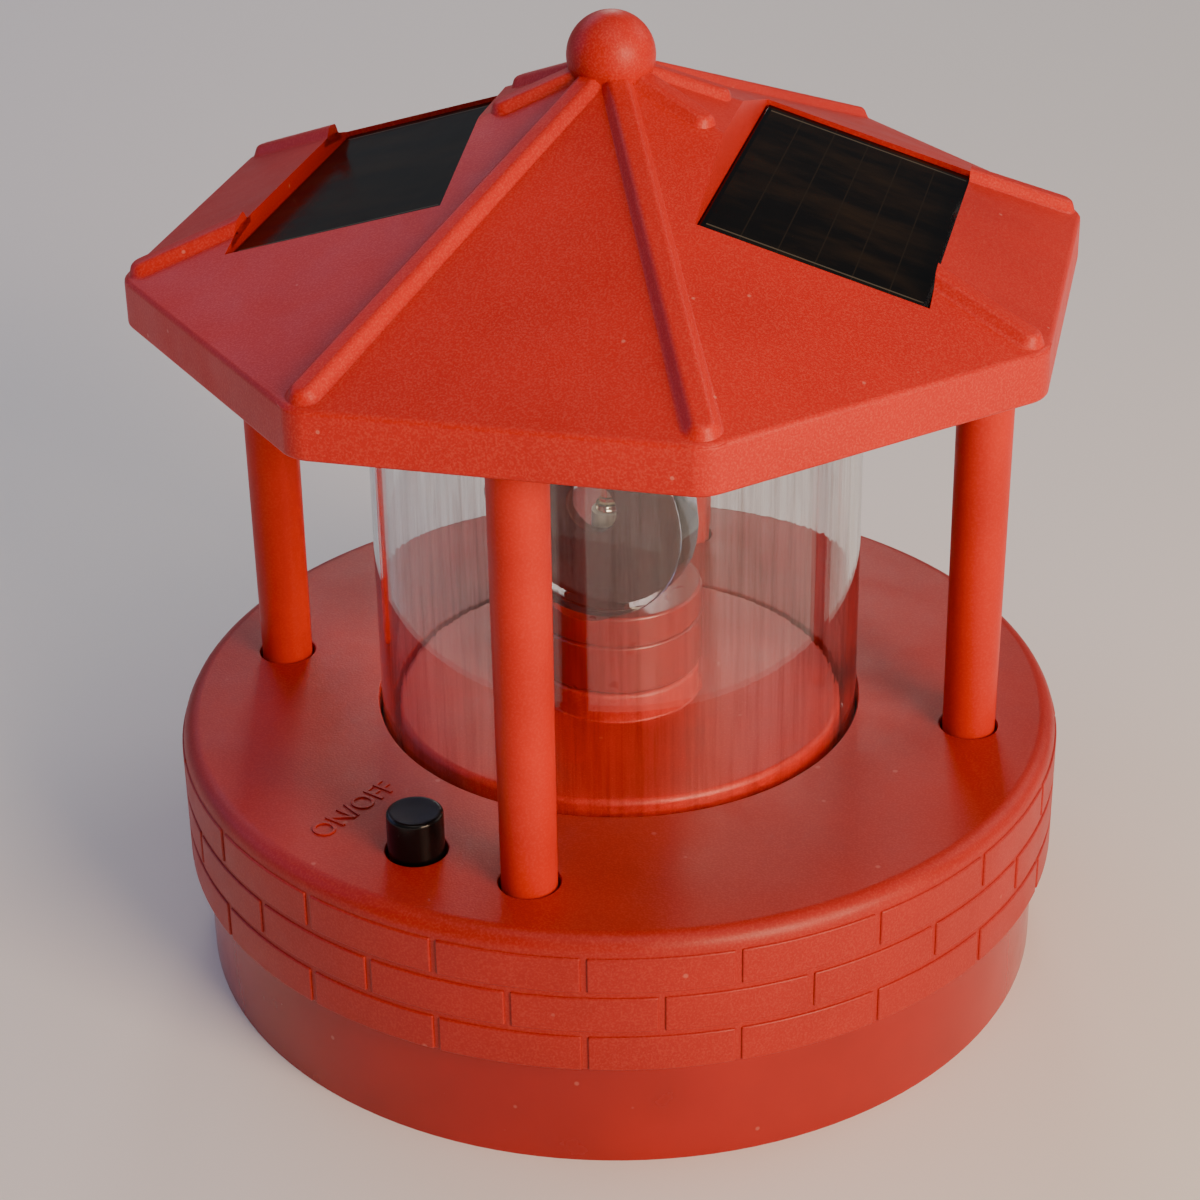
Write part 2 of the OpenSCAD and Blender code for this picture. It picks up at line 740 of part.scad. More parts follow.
module bottom_tray() {
    box_out_w = box_w + 2 * box_wall;
    box_out_l = 2 * (box_half + box_wall);
    opening_h = door_t + seat;
    color(plastic) difference() {
        union() {
            rotate_extrude() tray_section();
            translate([-box_out_l / 2, -cell_y - box_out_w / 2, floor_top - over])
                cube([box_out_l, box_out_w, box_top + box_wall - floor_top]);
            for (x = [-door_screw_x, door_screw_x]) translate([x, -cell_y, floor_z])
                cylinder(r = door_boss_r, h = floor_t + door_boss_h);
            for (x = [-board_screw_dx, board_screw_dx]) translate([board_x + x, board_y, floor_z])
                cylinder(r = board_boss_r, h = board_z - floor_z);
        }
        // room for the cell and its contacts
        translate([-box_half, -cell_y - box_w / 2, floor_z - over])
            cube([2 * box_half, box_w, box_top - floor_z]);
        // slots for the contacts' tabs in the roof of the box
        for (side = [-1, 1])
            translate([side * (box_half - contact_t / 2 - 0.1) - 0.4, -cell_y - tab_w / 2 - 0.2, box_top - 1])
                cube([0.8, tab_w + 0.4, box_wall + 2]);
        // rebate for the door
        translate([-door_half - door_gap, -cell_y - door_w / 2 - door_gap, floor_z - over])
            cube([2 * (door_half + door_gap), door_w + 2 * door_gap, opening_h + over]);
        for (x = [-door_screw_x, door_screw_x]) translate([x, -cell_y, floor_z])
            cylinder(r = screw_pilot_r, h = opening_h + door_grip + tip_room);
        for (x = [-board_screw_dx, board_screw_dx]) translate([board_x + x, board_y, floor_top + 0.5])
            cylinder(r = small_pilot_r, h = board_z - floor_top);
        for (a = tray_boss_angles) translate(on_ring(tray_boss_ring, a, floor_z - over))
            cylinder(r = screw_hole_r, h = floor_t + 2 * over);
    }
}

module tray_screws() {
    color(steel) for (a = tray_boss_angles)
        translate(on_ring(tray_boss_ring, a, floor_z)) screw_up(floor_t + tray_grip);
}

module battery_door() {
    lug_l = 2 * box_half - 1;
    lug_w = box_w - 1;
    lug_h = floor_top - floor_z - door_t - seat;
    color(plastic) difference() {
        union() {
            translate([-door_half, -cell_y - door_w / 2, floor_z + seat])
                cube([2 * door_half, door_w, door_t]);
            translate([-lug_l / 2, -cell_y - lug_w / 2, floor_z + seat + door_t - over])
                cube([lug_l, lug_w, lug_h + over]);
        }
        for (x = [-door_screw_x, door_screw_x]) translate([x, -cell_y, floor_z + seat - over])
            cylinder(r = screw_hole_r, h = door_t + 2 * over);
    }
}

module door_screws() {
    color(steel) for (x = [-door_screw_x, door_screw_x])
        translate([x, -cell_y, floor_z + seat]) screw_up(door_t + door_grip);
}

// ---- lamp head ----

module hub_lower() {
    color(plastic) difference() {
        union() {
            translate([0, 0, hub_z]) cylinder(r = hub_r, h = hub_lower_h);
            translate([0, 0, hub_mid_z - over]) cylinder(r = register_r, h = register_h + over);
            translate([0, 0, sleeve_end]) cylinder(r = sleeve_r, h = hub_z - sleeve_end + over);
        }
        translate([0, 0, sleeve_end - over])
            cylinder(r = hub_bore_d / 2, h = hub_top_z - sleeve_end);
        translate([0, 0, clip_z - 0.05])
            tube_ring(sleeve_r + 1, sleeve_r - clip_groove, clip_t + 0.1);
    }
}

module hub_upper() {
    step = 0.5;
    color(plastic) rotate(head_turn) difference() {
        union() {
            translate([0, 0, hub_mid_z + step]) cylinder(r = hub_r, h = hub_upper_h - step);
            translate([0, 0, hub_mid_z]) cylinder(r = hub_r - step, h = hub_upper_h);
        }
        translate([0, 0, hub_mid_z - over]) cylinder(r = register_r + fitted, h = register_h + 0.2);
        translate([0, 0, hub_mid_z]) cylinder(r = hub_bore_d / 2, h = hub_upper_h + 1);
        // saddle for the lens
        translate([0, -lens_back + 0.1, lens_z]) rotate([90, 0, 0])
            cylinder(r = lens_r + fitted, h = hub_r);
        // slot for the foot of the lens holder
        translate([-holder_foot_w / 2 - fitted, -lens_back + 0.1, hub_top_z - holder_foot_h])
            cube([holder_foot_w + 2 * fitted, holder_t + 0.1 + fitted, holder_foot_h + 1]);
    }
}

module lens_holder() {
    color(plastic) rotate(head_turn) difference() {
        union() {
            intersection() {
                translate([0, -lens_back + 0.1 + holder_t, lens_z]) rotate([90, 0, 0])
                    cylinder(r = holder_r, h = holder_t);
                translate([-lens_r, -lens_r, hub_top_z]) cube([2 * lens_r, 2 * lens_r, 2 * lens_r]);
            }
            translate([-holder_foot_w / 2, -lens_back + 0.1, hub_top_z - holder_foot_h])
                cube([holder_foot_w, holder_t, holder_foot_h + 6]);
        }
        translate([0, 0, lens_z]) rotate([90, 0, 0]) cylinder(r = holder_window_r, h = lens_r);
    }
}

module lens() {
    bulge_r = (lens_r * lens_r + lens_bulge * lens_bulge) / 2 / lens_bulge;
    color("#eef4f4", 0.35) rotate(head_turn) translate([0, -lens_back, lens_z]) rotate([90, 0, 0])
        intersection() {
            cylinder(r = lens_r, h = lens_rim_t + lens_bulge);
            translate([0, 0, lens_rim_t + lens_bulge - bulge_r]) sphere(r = bulge_r);
        }
}

module drive_gear() {
    color("#e9e6dc") translate([0, 0, gear_z]) difference() {
        rotate(motor_angle) linear_extrude(height = gear_face) polygon(gear_outline(gear_teeth));
        translate([0, 0, -over]) cylinder(r = sleeve_r + fitted, h = gear_face + 2 * over);
    }
}

module retaining_clip() {
    color(steel) translate([0, 0, clip_z]) difference() {
        cylinder(r = clip_r, h = clip_t);
        translate([0, 0, -over]) cylinder(r = sleeve_r - clip_groove + fitted, h = clip_t + 2 * over);
        translate([0, -sleeve_r + clip_groove - fitted, -over])
            cube([clip_r + 1, 2 * (sleeve_r - clip_groove + fitted), clip_t + 2 * over]);
    }
}

module head_bush() {
    color("#b08d57") difference() {
        union() {
            translate([0, 0, bush_under]) cylinder(r = bush_r - fitted, h = boss_top - bush_under);
            translate([0, 0, boss_top]) cylinder(r = bush_flange_r, h = bush_flange_t);
        }
        translate([0, 0, bush_under - over])
            cylinder(r = sleeve_r + running, h = boss_top - bush_under + bush_flange_t + 2 * over);
    }
}

module lamp_stalk() {
    bottom = chassis_z - stalk_flange_t;
    color("#dcdcd6") difference() {
        union() {
            translate([0, 0, bottom]) cylinder(r = stalk_r, h = led_z - bottom);
            translate([0, 0, bottom]) cylinder(r = stalk_flange_r, h = stalk_flange_t);
        }
        translate([0, 0, bottom - over]) cylinder(r = stalk_bore_r, h = led_z - bottom + 2 * over);
    }
}

module led() {
    color("#f4f1dc", 0.8) {
        translate([0, 0, led_z]) cylinder(r = led_r + 0.4, h = 1);
        translate([0, 0, led_z]) cylinder(r = led_r, h = led_h - led_r);
        translate([0, 0, led_z + led_h - led_r]) sphere(r = led_r);
    }
}

// ---- drive ----

module gear_chassis() {
    color("#3c3f44") difference() {
        union() {
            intersection() {
                translate([0, 0, chassis_z]) cylinder(r = chassis_r, h = chassis_t);
                translate([-chassis_r, chassis_cut_y, 0])
                    cube([2 * chassis_r, chassis_r - chassis_cut_y, deck_z]);
            }
            translate([0, 0, chassis_z]) cylinder(r = collar_r, h = chassis_t + collar_h);
        }
        translate([0, 0, chassis_z - over])
            cylinder(r = stalk_r + fitted, h = chassis_t + collar_h + 2 * over);
        for (a = chassis_angles) translate(on_ring(chassis_ring, a, chassis_z - over))
            cylinder(r = screw_hole_r, h = chassis_t + 2 * over);
        translate(motor_at + [0, 0, chassis_z - over]) {
            cylinder(r = motor_hole_r, h = chassis_t + 2 * over);
            for (side = [-1, 1]) rotate(motor_angle) translate([0, side * motor_screw_ring, 0])
                cylinder(r = small_hole_r, h = chassis_t + 2 * over);
        }
    }
}

module chassis_screws() {
    color(steel) for (a = chassis_angles)
        translate(on_ring(chassis_ring, a, chassis_z)) screw_up(chassis_t + chassis_grip);
}

module gear_motor() {
    color(zinc) translate(motor_at + [0, 0, chassis_z - motor_h]) difference() {
        union() {
            cylinder(r = motor_r, h = motor_h);
            translate([0, 0, motor_h - over]) cylinder(r = motor_hole_r - 0.4, h = 1.2);
        }
        translate([0, 0, motor_shaft_foot]) cylinder(r = motor_shaft_r + running, h = motor_h);
        for (side = [-1, 1]) rotate(motor_angle)
            translate([0, side * motor_screw_ring, motor_h - motor_grip - tip_room])
                cylinder(r = small_pilot_r, h = motor_grip + tip_room + over);
    }
}

module motor_screws() {
    color(steel) for (side = [-1, 1])
        translate(motor_at + [0, 0, chassis_top]) rotate(motor_angle)
            translate([0, side * motor_screw_ring, 0]) rotate([180, 0, 0])
                screw_up(chassis_t + motor_grip, small_screw_r, small_head_r, small_head_h);
}

module motor_shaft() {
    bottom = chassis_z - motor_h + motor_shaft_foot + seat;
    color(steel) translate(motor_at + [0, 0, bottom])
        cylinder(r = motor_shaft_r, h = gear_top + pinion_over - bottom);
}

module motor_pinion() {
    low = gear_z - pinion_over;
    height = gear_face + 2 * pinion_over;
    color("#c9a35a") translate(motor_at + [0, 0, low]) difference() {
        union() {
            rotate(motor_angle + 180 + 180 / pinion_teeth)
                linear_extrude(height = height) polygon(gear_outline(pinion_teeth));
            translate([0, 0, -pinion_boss_h]) cylinder(r = pinion_boss_r, h = pinion_boss_h + over);
        }
        translate([0, 0, -pinion_boss_h - over])
            cylinder(r = motor_shaft_r + fitted / 5, h = height + pinion_boss_h + 2 * over);
    }
}

// ---- switch ----

module at_switch() {
    rotate(button_angle) translate([button_ring_r, 0, 0]) children();
}

module switch_body() {
    color("#1d1d1f") at_switch() difference() {
        union() {
            translate([-switch_w / 2, -switch_w / 2, switch_top - switch_h])
                cube([switch_w, switch_w, switch_h]);
            hull() for (side = [-1, 1]) translate([0, side * switch_ear_x, switch_top - switch_ear_t])
                cylinder(r = switch_boss_r, h = switch_ear_t, $fn = 32);
            for (side = [-1, 1]) translate([-1, side * 3 - 0.4, switch_top - switch_h - switch_pin_h])
                cube([2, 0.8, switch_pin_h + 0.5]);
        }
        translate([0, 0, switch_top - plunger_sunk - button_travel - 0.4])
            cylinder(r = plunger_r + running, h = switch_h);
        for (side = [-1, 1]) translate([0, side * switch_ear_x, switch_top - switch_ear_t - 1])
            cylinder(r = small_hole_r, h = switch_ear_t + 2);
    }
}

module switch_screws() {
    color(steel) at_switch() for (side = [-1, 1])
        translate([0, side * switch_ear_x, switch_top - switch_ear_t])
            screw_up(switch_ear_t + switch_grip, small_screw_r, small_head_r, small_head_h);
}

module switch_plunger() {
    color("#e8e8e4") at_switch() translate([0, 0, switch_top - plunger_sunk])
        cylinder(r = plunger_r, h = cap_under + plunger_into_cap - switch_top + plunger_sunk);
}

module button_cap() {
    edge = 0.5;
    color("#0d0d0f") at_switch() translate([0, 0, cap_under]) difference() {
        union() {
            cylinder(r = button_r, h = button_top - cap_under - edge);
            translate([0, 0, button_top - cap_under - edge])
                cylinder(r1 = button_r, r2 = button_r - edge, h = edge);
        }
        translate([0, 0, -over]) cylinder(r = plunger_r + fitted, h = plunger_into_cap + 0.1);
    }
}

// ---- cell and circuit board ----

module battery_cell() {
    color("#4f8f5a") translate([cell_end_x - cell_l, -cell_y, cell_z]) rotate([0, 90, 0]) {
        cylinder(r = cell_r, h = cell_l);
        cylinder(r = nub_r, h = cell_l + nub_l);
    }
}

module contact(side) {
    foot_z = floor_top + seat;
    x = side * (box_half - contact_t / 2 - 0.1) - contact_t / 2;
    translate([x, -cell_y - contact_w / 2, foot_z]) cube([contact_t, contact_w, box_top - foot_z - 0.1]);
    translate([x, -cell_y - tab_w / 2, foot_z])
        cube([contact_t, tab_w, box_top + box_wall + tab_rise - foot_z]);
}

module contact_plate() {
    color(steel) contact(1);
}

module contact_spring() {
    start_x = -box_half + 0.1 + contact_t - 0.05;
    end_x = cell_end_x - cell_l - seat - spring_wire / 2;
    steps = 12;
    turns = [for (i = [0:spring_turns * steps])
        let (f = i / spring_turns / steps, a = 360 * i / steps)
        [start_x + spring_wire / 2 + f * (end_x - start_x - spring_wire / 2),
         -cell_y + spring_r * cos(a), cell_z + spring_r * sin(a)]];
    color(steel) {
        contact(-1);
        swept(turns, spring_wire);
    }
}

module circuit_board() {
    color("#1f6b3a") difference() {
        translate([board_x - board_l / 2, board_y - board_w / 2, board_z]) cube([board_l, board_w, board_t]);
        for (x = [-board_screw_dx, board_screw_dx]) translate([board_x + x, board_y, board_z - over])
            cylinder(r = small_hole_r, h = board_t + 2 * over);
    }
}

module board_parts() {
    chip = [5, 4, 1.6];
    color("#202124") translate([board_x, board_y, board_top]) {
        translate([-8, -3, 0]) cube(chip);
        translate([2, 4, 0]) cube([3, 6, 2]);
        translate([-7, 6, 0]) cylinder(r = 2.5, h = 7);
        translate([5, -3, 0]) cylinder(r = 3, h = 4);
    }
}

module board_screws() {
    color(steel) for (x = [-board_screw_dx, board_screw_dx])
        translate([board_x + x, board_y, board_top]) rotate([180, 0, 0])
            screw_up(board_t + board_grip, small_screw_r, small_head_r, small_head_h);
}

// ---- leads ----

module panel_lead_right() {
    color("#a3201c") lead([lead_start, [lead_start[0] - 0.6, 0, lead_bed + 0.8],
        [lead_start[0] + 3, 0, lead_bed], [post_ring_r, 0, lead_bed], [post_ring_r, 0, lead_bed - 8],
        [post_ring_r, 0, post_socket_z + 2], [post_ring_r, 0, post_socket_z - 4], [post_ring_r - 2.3, 6, 14],
        [45, 24, 9], [22, 37, 8.5], [-4, 34, 11], each on_board(13, 8)]);
}

module panel_lead_left() {
    color("#a3201c") lead([[-lead_start[0], 0, lead_start[2]], [-lead_start[0] + 0.6, 0, lead_bed + 0.8],
        [-lead_start[0] - 3, 0, lead_bed], [-post_ring_r, 0, lead_bed], [-post_ring_r, 0, lead_bed - 8],
        [-post_ring_r, 0, post_socket_z + 2], [-post_ring_r, 0, post_socket_z - 4], [-post_ring_r + 0.3, 6, 19],
        each on_board(-14.5, -6)]);
}

module battery_leads() {
    tab_z = box_top + box_wall + tab_rise + lead_d / 2 + 0.1;
    tab_x = box_half - 0.3;
    color("#a3201c") lead([[tab_x, -cell_y, tab_z], [tab_x - 6, -cell_y - 2, tab_z],
        [0, -cell_y - 5, tab_z], [-32, -cell_y - 5, tab_z], [-37, -30, tab_z - 3], [-42, -10, 14],
        each on_board(-11, -9)]);
    color("#1b1b1d") lead([[-tab_x, -cell_y, tab_z], [-34, -cell_y, tab_z], [-36, -22, tab_z - 3],
        [-38, -10, 15], each on_board(-7.5, -9)]);
}

module motor_leads() {
    side_x = motor_at[0] - motor_r - lead_d / 2 - 0.05;
    color("#1b1b1d") lead([[side_x, motor_at[1], 12], [side_x - 5, motor_at[1] + 2, 12.5],
        [-9, 18, 14], each on_board(14, -3)]);
}

module led_leads() {
    color("#1b1b1d") lead([[0, 0, led_z - 0.1], [0, 0, chassis_z + 20], [0, 0, chassis_z],
        [0, 0, chassis_z - 3], [-6, 6, 12.5], each on_board(13, -9)], 1.2);
}

module switch_leads() {
    foot = on_ring(button_ring_r, button_angle, switch_top - switch_h - switch_pin_h - lead_d / 2);
    color("#1b1b1d") lead([foot, foot + [-3, 4, -1.5], [-27, -38, 25.5], [-33, -27, 27], [-41, -15, 24],
        each on_board(-14.5, -9.5)]);
}

roof_cap();
roof_finial();
roof_ceiling();
ceiling_screws();
solar_panel_right();
solar_panel_left();
panel_pad_right();
panel_pad_left();
post_front();
post_right();
post_back();
post_left();
post_screws();
lamp_tube();
tube_seal_lower();
tube_seal_upper();
base_housing();
bottom_tray();
tray_screws();
battery_door();
door_screws();
hub_lower();
hub_upper();
lens_holder();
lens();
drive_gear();
retaining_clip();
head_bush();
lamp_stalk();
led();
gear_chassis();
chassis_screws();
gear_motor();
motor_screws();
motor_shaft();
motor_pinion();
switch_body();
switch_screws();
switch_plunger();
button_cap();
battery_cell();
contact_plate();
contact_spring();
circuit_board();
board_parts();
board_screws();
panel_lead_right();
panel_lead_left();
battery_leads();
motor_leads();
led_leads();
switch_leads();
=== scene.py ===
import bpy
import bmesh
import json
from math import atan, cos, pi, radians, sin, tan
from mathutils import Matrix, Vector


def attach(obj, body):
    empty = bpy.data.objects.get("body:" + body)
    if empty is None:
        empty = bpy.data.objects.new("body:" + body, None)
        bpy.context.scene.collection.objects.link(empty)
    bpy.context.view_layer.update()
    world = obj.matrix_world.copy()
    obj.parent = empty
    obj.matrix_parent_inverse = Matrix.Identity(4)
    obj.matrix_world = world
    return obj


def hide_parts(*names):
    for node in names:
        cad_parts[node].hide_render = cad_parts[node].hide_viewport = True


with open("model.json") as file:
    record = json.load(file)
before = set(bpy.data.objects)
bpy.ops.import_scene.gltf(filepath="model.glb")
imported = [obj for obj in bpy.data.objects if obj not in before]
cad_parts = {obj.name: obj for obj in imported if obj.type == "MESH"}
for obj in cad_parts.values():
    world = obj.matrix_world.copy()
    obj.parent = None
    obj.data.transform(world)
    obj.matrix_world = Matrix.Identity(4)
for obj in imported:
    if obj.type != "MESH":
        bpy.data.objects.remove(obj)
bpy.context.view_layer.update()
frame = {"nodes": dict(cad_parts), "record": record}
print("frame loaded")

mm = 0.001  # sizes below are in millimetres


def leaveEditing():
    if bpy.context.object and bpy.context.object.mode == 'EDIT':
        bpy.ops.object.mode_set(mode='OBJECT')


def onlySelect(*objects):
    leaveEditing()
    bpy.ops.object.select_all(action='DESELECT')
    for obj in objects:
        obj.select_set(True)
    bpy.context.view_layer.objects.active = objects[0]


def startEditing(obj):
    onlySelect(obj)
    bpy.ops.object.mode_set(mode='EDIT')
    bpy.ops.mesh.select_all(action='DESELECT')


def pick(kind, test):
    # selects the verts, edges or faces whose middle, in mm, passes the test
    bpy.ops.mesh.select_mode(type=kind)
    bpy.ops.mesh.select_all(action='DESELECT')
    mesh = bpy.context.edit_object.data
    bm = bmesh.from_edit_mesh(mesh)
    for item in {'VERT': bm.verts, 'EDGE': bm.edges, 'FACE': bm.faces}[kind]:
        if kind == 'VERT':
            middle = item.co
        else:
            middle = sum((v.co for v in item.verts), Vector()) / len(item.verts)
        if test(middle / mm, item):
            item.select_set(True)
    bm.select_flush_mode()
    bmesh.update_edit_mesh(mesh)


def settle(obj):
    # puts the place, turn and scale into the mesh
    onlySelect(obj)
    bpy.ops.object.transform_apply(location=True, rotation=True, scale=True)


def applyModifier(obj, kind, **settings):
    onlySelect(obj)
    tool = obj.modifiers.new(kind.lower(), kind)
    for key, value in settings.items():
        setattr(tool, key, value)
    bpy.ops.object.modifier_apply(modifier=tool.name)


def carve(obj, cutter, operation='DIFFERENCE'):
    applyModifier(obj, 'BOOLEAN', operation=operation, object=cutter, solver='EXACT')
    bpy.data.objects.remove(cutter, do_unlink=True)


def softenEdges(obj, width, segments=2, angle=35):
    applyModifier(obj, 'BEVEL', width=width * mm, segments=segments, limit_method='ANGLE',
                  angle_limit=radians(angle), use_clamp_overlap=True)


def twinOf(obj, name):
    onlySelect(obj)
    bpy.ops.object.duplicate(linked=False)
    twin = bpy.context.object
    twin.name = name
    return twin


def joined(name, *objects):
    onlySelect(*objects)
    bpy.ops.object.join()
    bpy.context.object.name = name
    return bpy.context.object


def turnedAbout(obj, degrees):
    # turns a piece about the lamp's own axis
    obj.rotation_euler = (0, 0, radians(degrees))
    settle(obj)
    return obj


def roundCorners(corners, steps=5):
    # corners are (radius, height) or (radius, height, how round)
    made = []
    for i, corner in enumerate(corners):
        here = Vector(corner[:2])
        ease = corner[2] if len(corner) > 2 else 0
        if not ease:
            made.append(here)
            continue
        back = (Vector(corners[i - 1][:2]) - here).normalized()
        onward = (Vector(corners[(i + 1) % len(corners)][:2]) - here).normalized()
        half = back.angle(onward) / 2
        centre = here + (back + onward).normalized() * ease / sin(half)
        first = here + back * ease / tan(half) - centre
        last = here + onward * ease / tan(half) - centre
        sweep = first.angle(last)
        for k in range(steps + 1):
            t = k / steps
            made.append(centre + (first * sin((1 - t) * sweep) + last * sin(t * sweep)) / sin(sweep))
    return made


def drawOutline(name, points):
    # a chain of edges through the points, left in edit mode
    bpy.ops.object.select_all(action='DESELECT')
    bpy.ops.mesh.primitive_plane_add(size=mm)
    bpy.context.object.name = name
    bpy.ops.object.mode_set(mode='EDIT')
    bpy.ops.mesh.select_mode(type='VERT')
    bpy.ops.mesh.select_all(action='SELECT')
    bpy.ops.mesh.merge(type='CENTER')
    bpy.ops.transform.translate(value=points[0])
    for here, there in zip(points, points[1:]):
        bpy.ops.mesh.extrude_region_move(TRANSFORM_OT_translate={"value": there - here})
    return bpy.context.object


def joinEnds(points):
    ends = [points[0] / mm, points[-1] / mm]
    pick('VERT', lambda c, v: min((c - e).length for e in ends) < 1e-4)
    bpy.ops.mesh.edge_face_add()


def closeUp(fillHoles=False):
    # merges doubles, fills what is open if asked, and turns all faces outwards
    bpy.ops.mesh.select_all(action='SELECT')
    bpy.ops.mesh.remove_doubles(threshold=0.004 * mm)
    if fillHoles:
        bpy.ops.mesh.fill_holes(sides=0)
    bpy.ops.mesh.select_all(action='SELECT')
    bpy.ops.mesh.normals_make_consistent(inside=False)
    leaveEditing()


def turned(name, corners, steps=160, sweep=360, start=0, arc=5):
    # a section drawn point by point, then spun round Z
    section = roundCorners(corners, arc)
    points = [Vector((p[0] * cos(radians(start)), p[0] * sin(radians(start)), p[1])) * mm for p in section]
    obj = drawOutline(name, points)
    if section[0][0] > 1e-6 or section[-1][0] > 1e-6:
        joinEnds(points)
    bpy.ops.mesh.select_all(action='SELECT')
    bpy.ops.mesh.spin(steps=steps, angle=-radians(sweep), center=(0, 0, 0), axis=(0, 0, 1))
    closeUp(fillHoles=sweep < 360)
    return obj


def barAlong(name, section, length):
    # a closed section across Y and Z, drawn out along X
    points = [Vector((0, p[0], p[1])) * mm for p in section]
    obj = drawOutline(name, points)
    joinEnds(points)
    bpy.ops.mesh.select_all(action='SELECT')
    bpy.ops.mesh.edge_face_add()
    bpy.ops.mesh.extrude_region_move(TRANSFORM_OT_translate={"value": (length * mm, 0, 0)})
    closeUp()
    return obj


def cylinder(name, radius, low, high, at=(0, 0), vertices=64):
    bpy.ops.object.select_all(action='DESELECT')
    bpy.ops.mesh.primitive_cylinder_add(vertices=vertices, radius=radius * mm, depth=(high - low) * mm,
                                        location=(at[0] * mm, at[1] * mm, (low + high) / 2 * mm))
    obj = bpy.context.object
    obj.name = name
    settle(obj)
    return obj


def onRing(radius, degrees):
    return radius * cos(radians(degrees)), radius * sin(radians(degrees))


def finished(obj, body, node, look, smooth=35):
    settle(obj)
    bpy.ops.object.shade_smooth_by_angle(angle=radians(smooth))
    applyModifier(obj, 'WEIGHTED_NORMAL', keep_sharp=True)
    obj.data.materials.clear()
    obj.data.materials.append(look)
    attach(obj, body)
    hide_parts(node)
    return obj


# colours and finishes

def hexColour(code):
    parts = [int(code[i:i + 2], 16) / 255 for i in (0, 2, 4)]
    return tuple(c / 12.92 if c <= 0.04045 else ((c + 0.055) / 1.055) ** 2.4 for c in parts) + (1,)


def addNode(look, kind, settings={}, links={}):
    # settings and links go by an input's name or number; a link is an output, or a node for its first one
    # a colour mix takes its factor at 0 and its colours at 6 and 7, and gives the result at 2
    node = look.node_tree.nodes.new('ShaderNode' + kind)
    for key, value in settings.items():
        if isinstance(key, int) or key in node.inputs:
            node.inputs[key].default_value = value
        else:
            setattr(node, key, value)
    for key, source in links.items():
        if isinstance(source, bpy.types.Node):
            source = source.outputs[0]
        look.node_tree.links.new(node.inputs[key], source)
    return node


def emptyLook(name):
    look = bpy.data.materials.new(name)
    look.use_nodes = True
    look.node_tree.nodes.clear()
    return look


def mouldedPlastic(name, p):
    # colour clouds from the melt, a fine moulded grain, a few light flecks of dust, and painted glints where
    # asked
    look = emptyLook(name)
    place = addNode(look, 'TexCoord').outputs['Object']
    cloud = addNode(look, 'TexNoise', {'Scale': 1 / (p['cloud'] * mm), 'Detail': 3}, {'Vector': place})
    cloudMask = addNode(look, 'MapRange', {'From Min': 0.35, 'From Max': 0.65}, {'Value': cloud})
    colour = addNode(look, 'Mix', {
        'data_type': 'RGBA', 6: hexColour(p['colour']), 7: hexColour(p['cloudColour'])},
        {0: cloudMask}).outputs[2]
    if p['fleck']:
        dust = addNode(look, 'TexVoronoi', {'Scale': 1 / (p['fleckApart'] * mm)}, {'Vector': place})
        dustMask = addNode(look, 'MapRange', {
            'From Min': 0.03, 'From Max': 0.055, 'To Min': p['fleck'], 'To Max': 0}, {'Value': dust})
        colour = addNode(look, 'Mix', {'data_type': 'RGBA', 7: hexColour(p.get('fleckColour', 'e9a08f'))},
                         {0: dustMask, 6: colour}).outputs[2]
    grit = addNode(look, 'TexNoise', {'Scale': 1 / (p['grain'] * mm)}, {'Vector': place})
    # lighter specks painted on the grain's high spots stand in for its sparkle: painted glints
    if 'paintedSparkle' in p:
        paintedSparkleMask = addNode(look, 'MapRange', {'From Min': 0.45, 'From Max': 0.65, 'To Max': p['paintedSparkle']},
                           {'Value': grit})
        colour = addNode(look, 'Mix', {'data_type': 'RGBA', 7: hexColour(p.get('paintedSparkleColour', 'f0705a'))},
                         {0: paintedSparkleMask, 6: colour}).outputs[2]
    smearSize = 9  # from one flow mark of the moulding to the next
    smear = addNode(look, 'TexNoise', {'Scale': 1 / (smearSize * mm), 'Detail': 4, 'Roughness': 0.6},
                    {'Vector': place})
    gloss = addNode(look, 'MapRange', {
        'From Min': 0.3, 'From Max': 0.7, 'To Min': p['rough'] - p['roughSpread'],
        'To Max': p['rough'] + p['roughSpread']}, {'Value': smear})
    swell = addNode(look, 'TexNoise', {'Scale': 1 / (p['wave'] * mm), 'Detail': 1}, {'Vector': place})
    wave = addNode(look, 'Bump', {'Distance': p['waveDepth'] * mm}, {'Height': swell})
    grain = addNode(look, 'Bump', {'Distance': p['grainDepth'] * mm}, {'Height': grit, 'Normal': wave})
    shader = addNode(look, 'BsdfPrincipled', {
        'Coat Weight': p.get('coat', 0), 'Coat Roughness': p.get('coatRough', 0.2), 'IOR': 1.5,
        'Specular IOR Level': p.get('shine', 0.5)},
        {'Base Color': colour, 'Roughness': gloss, 'Normal': grain})
    addNode(look, 'OutputMaterial', links={'Surface': shader})
    return look


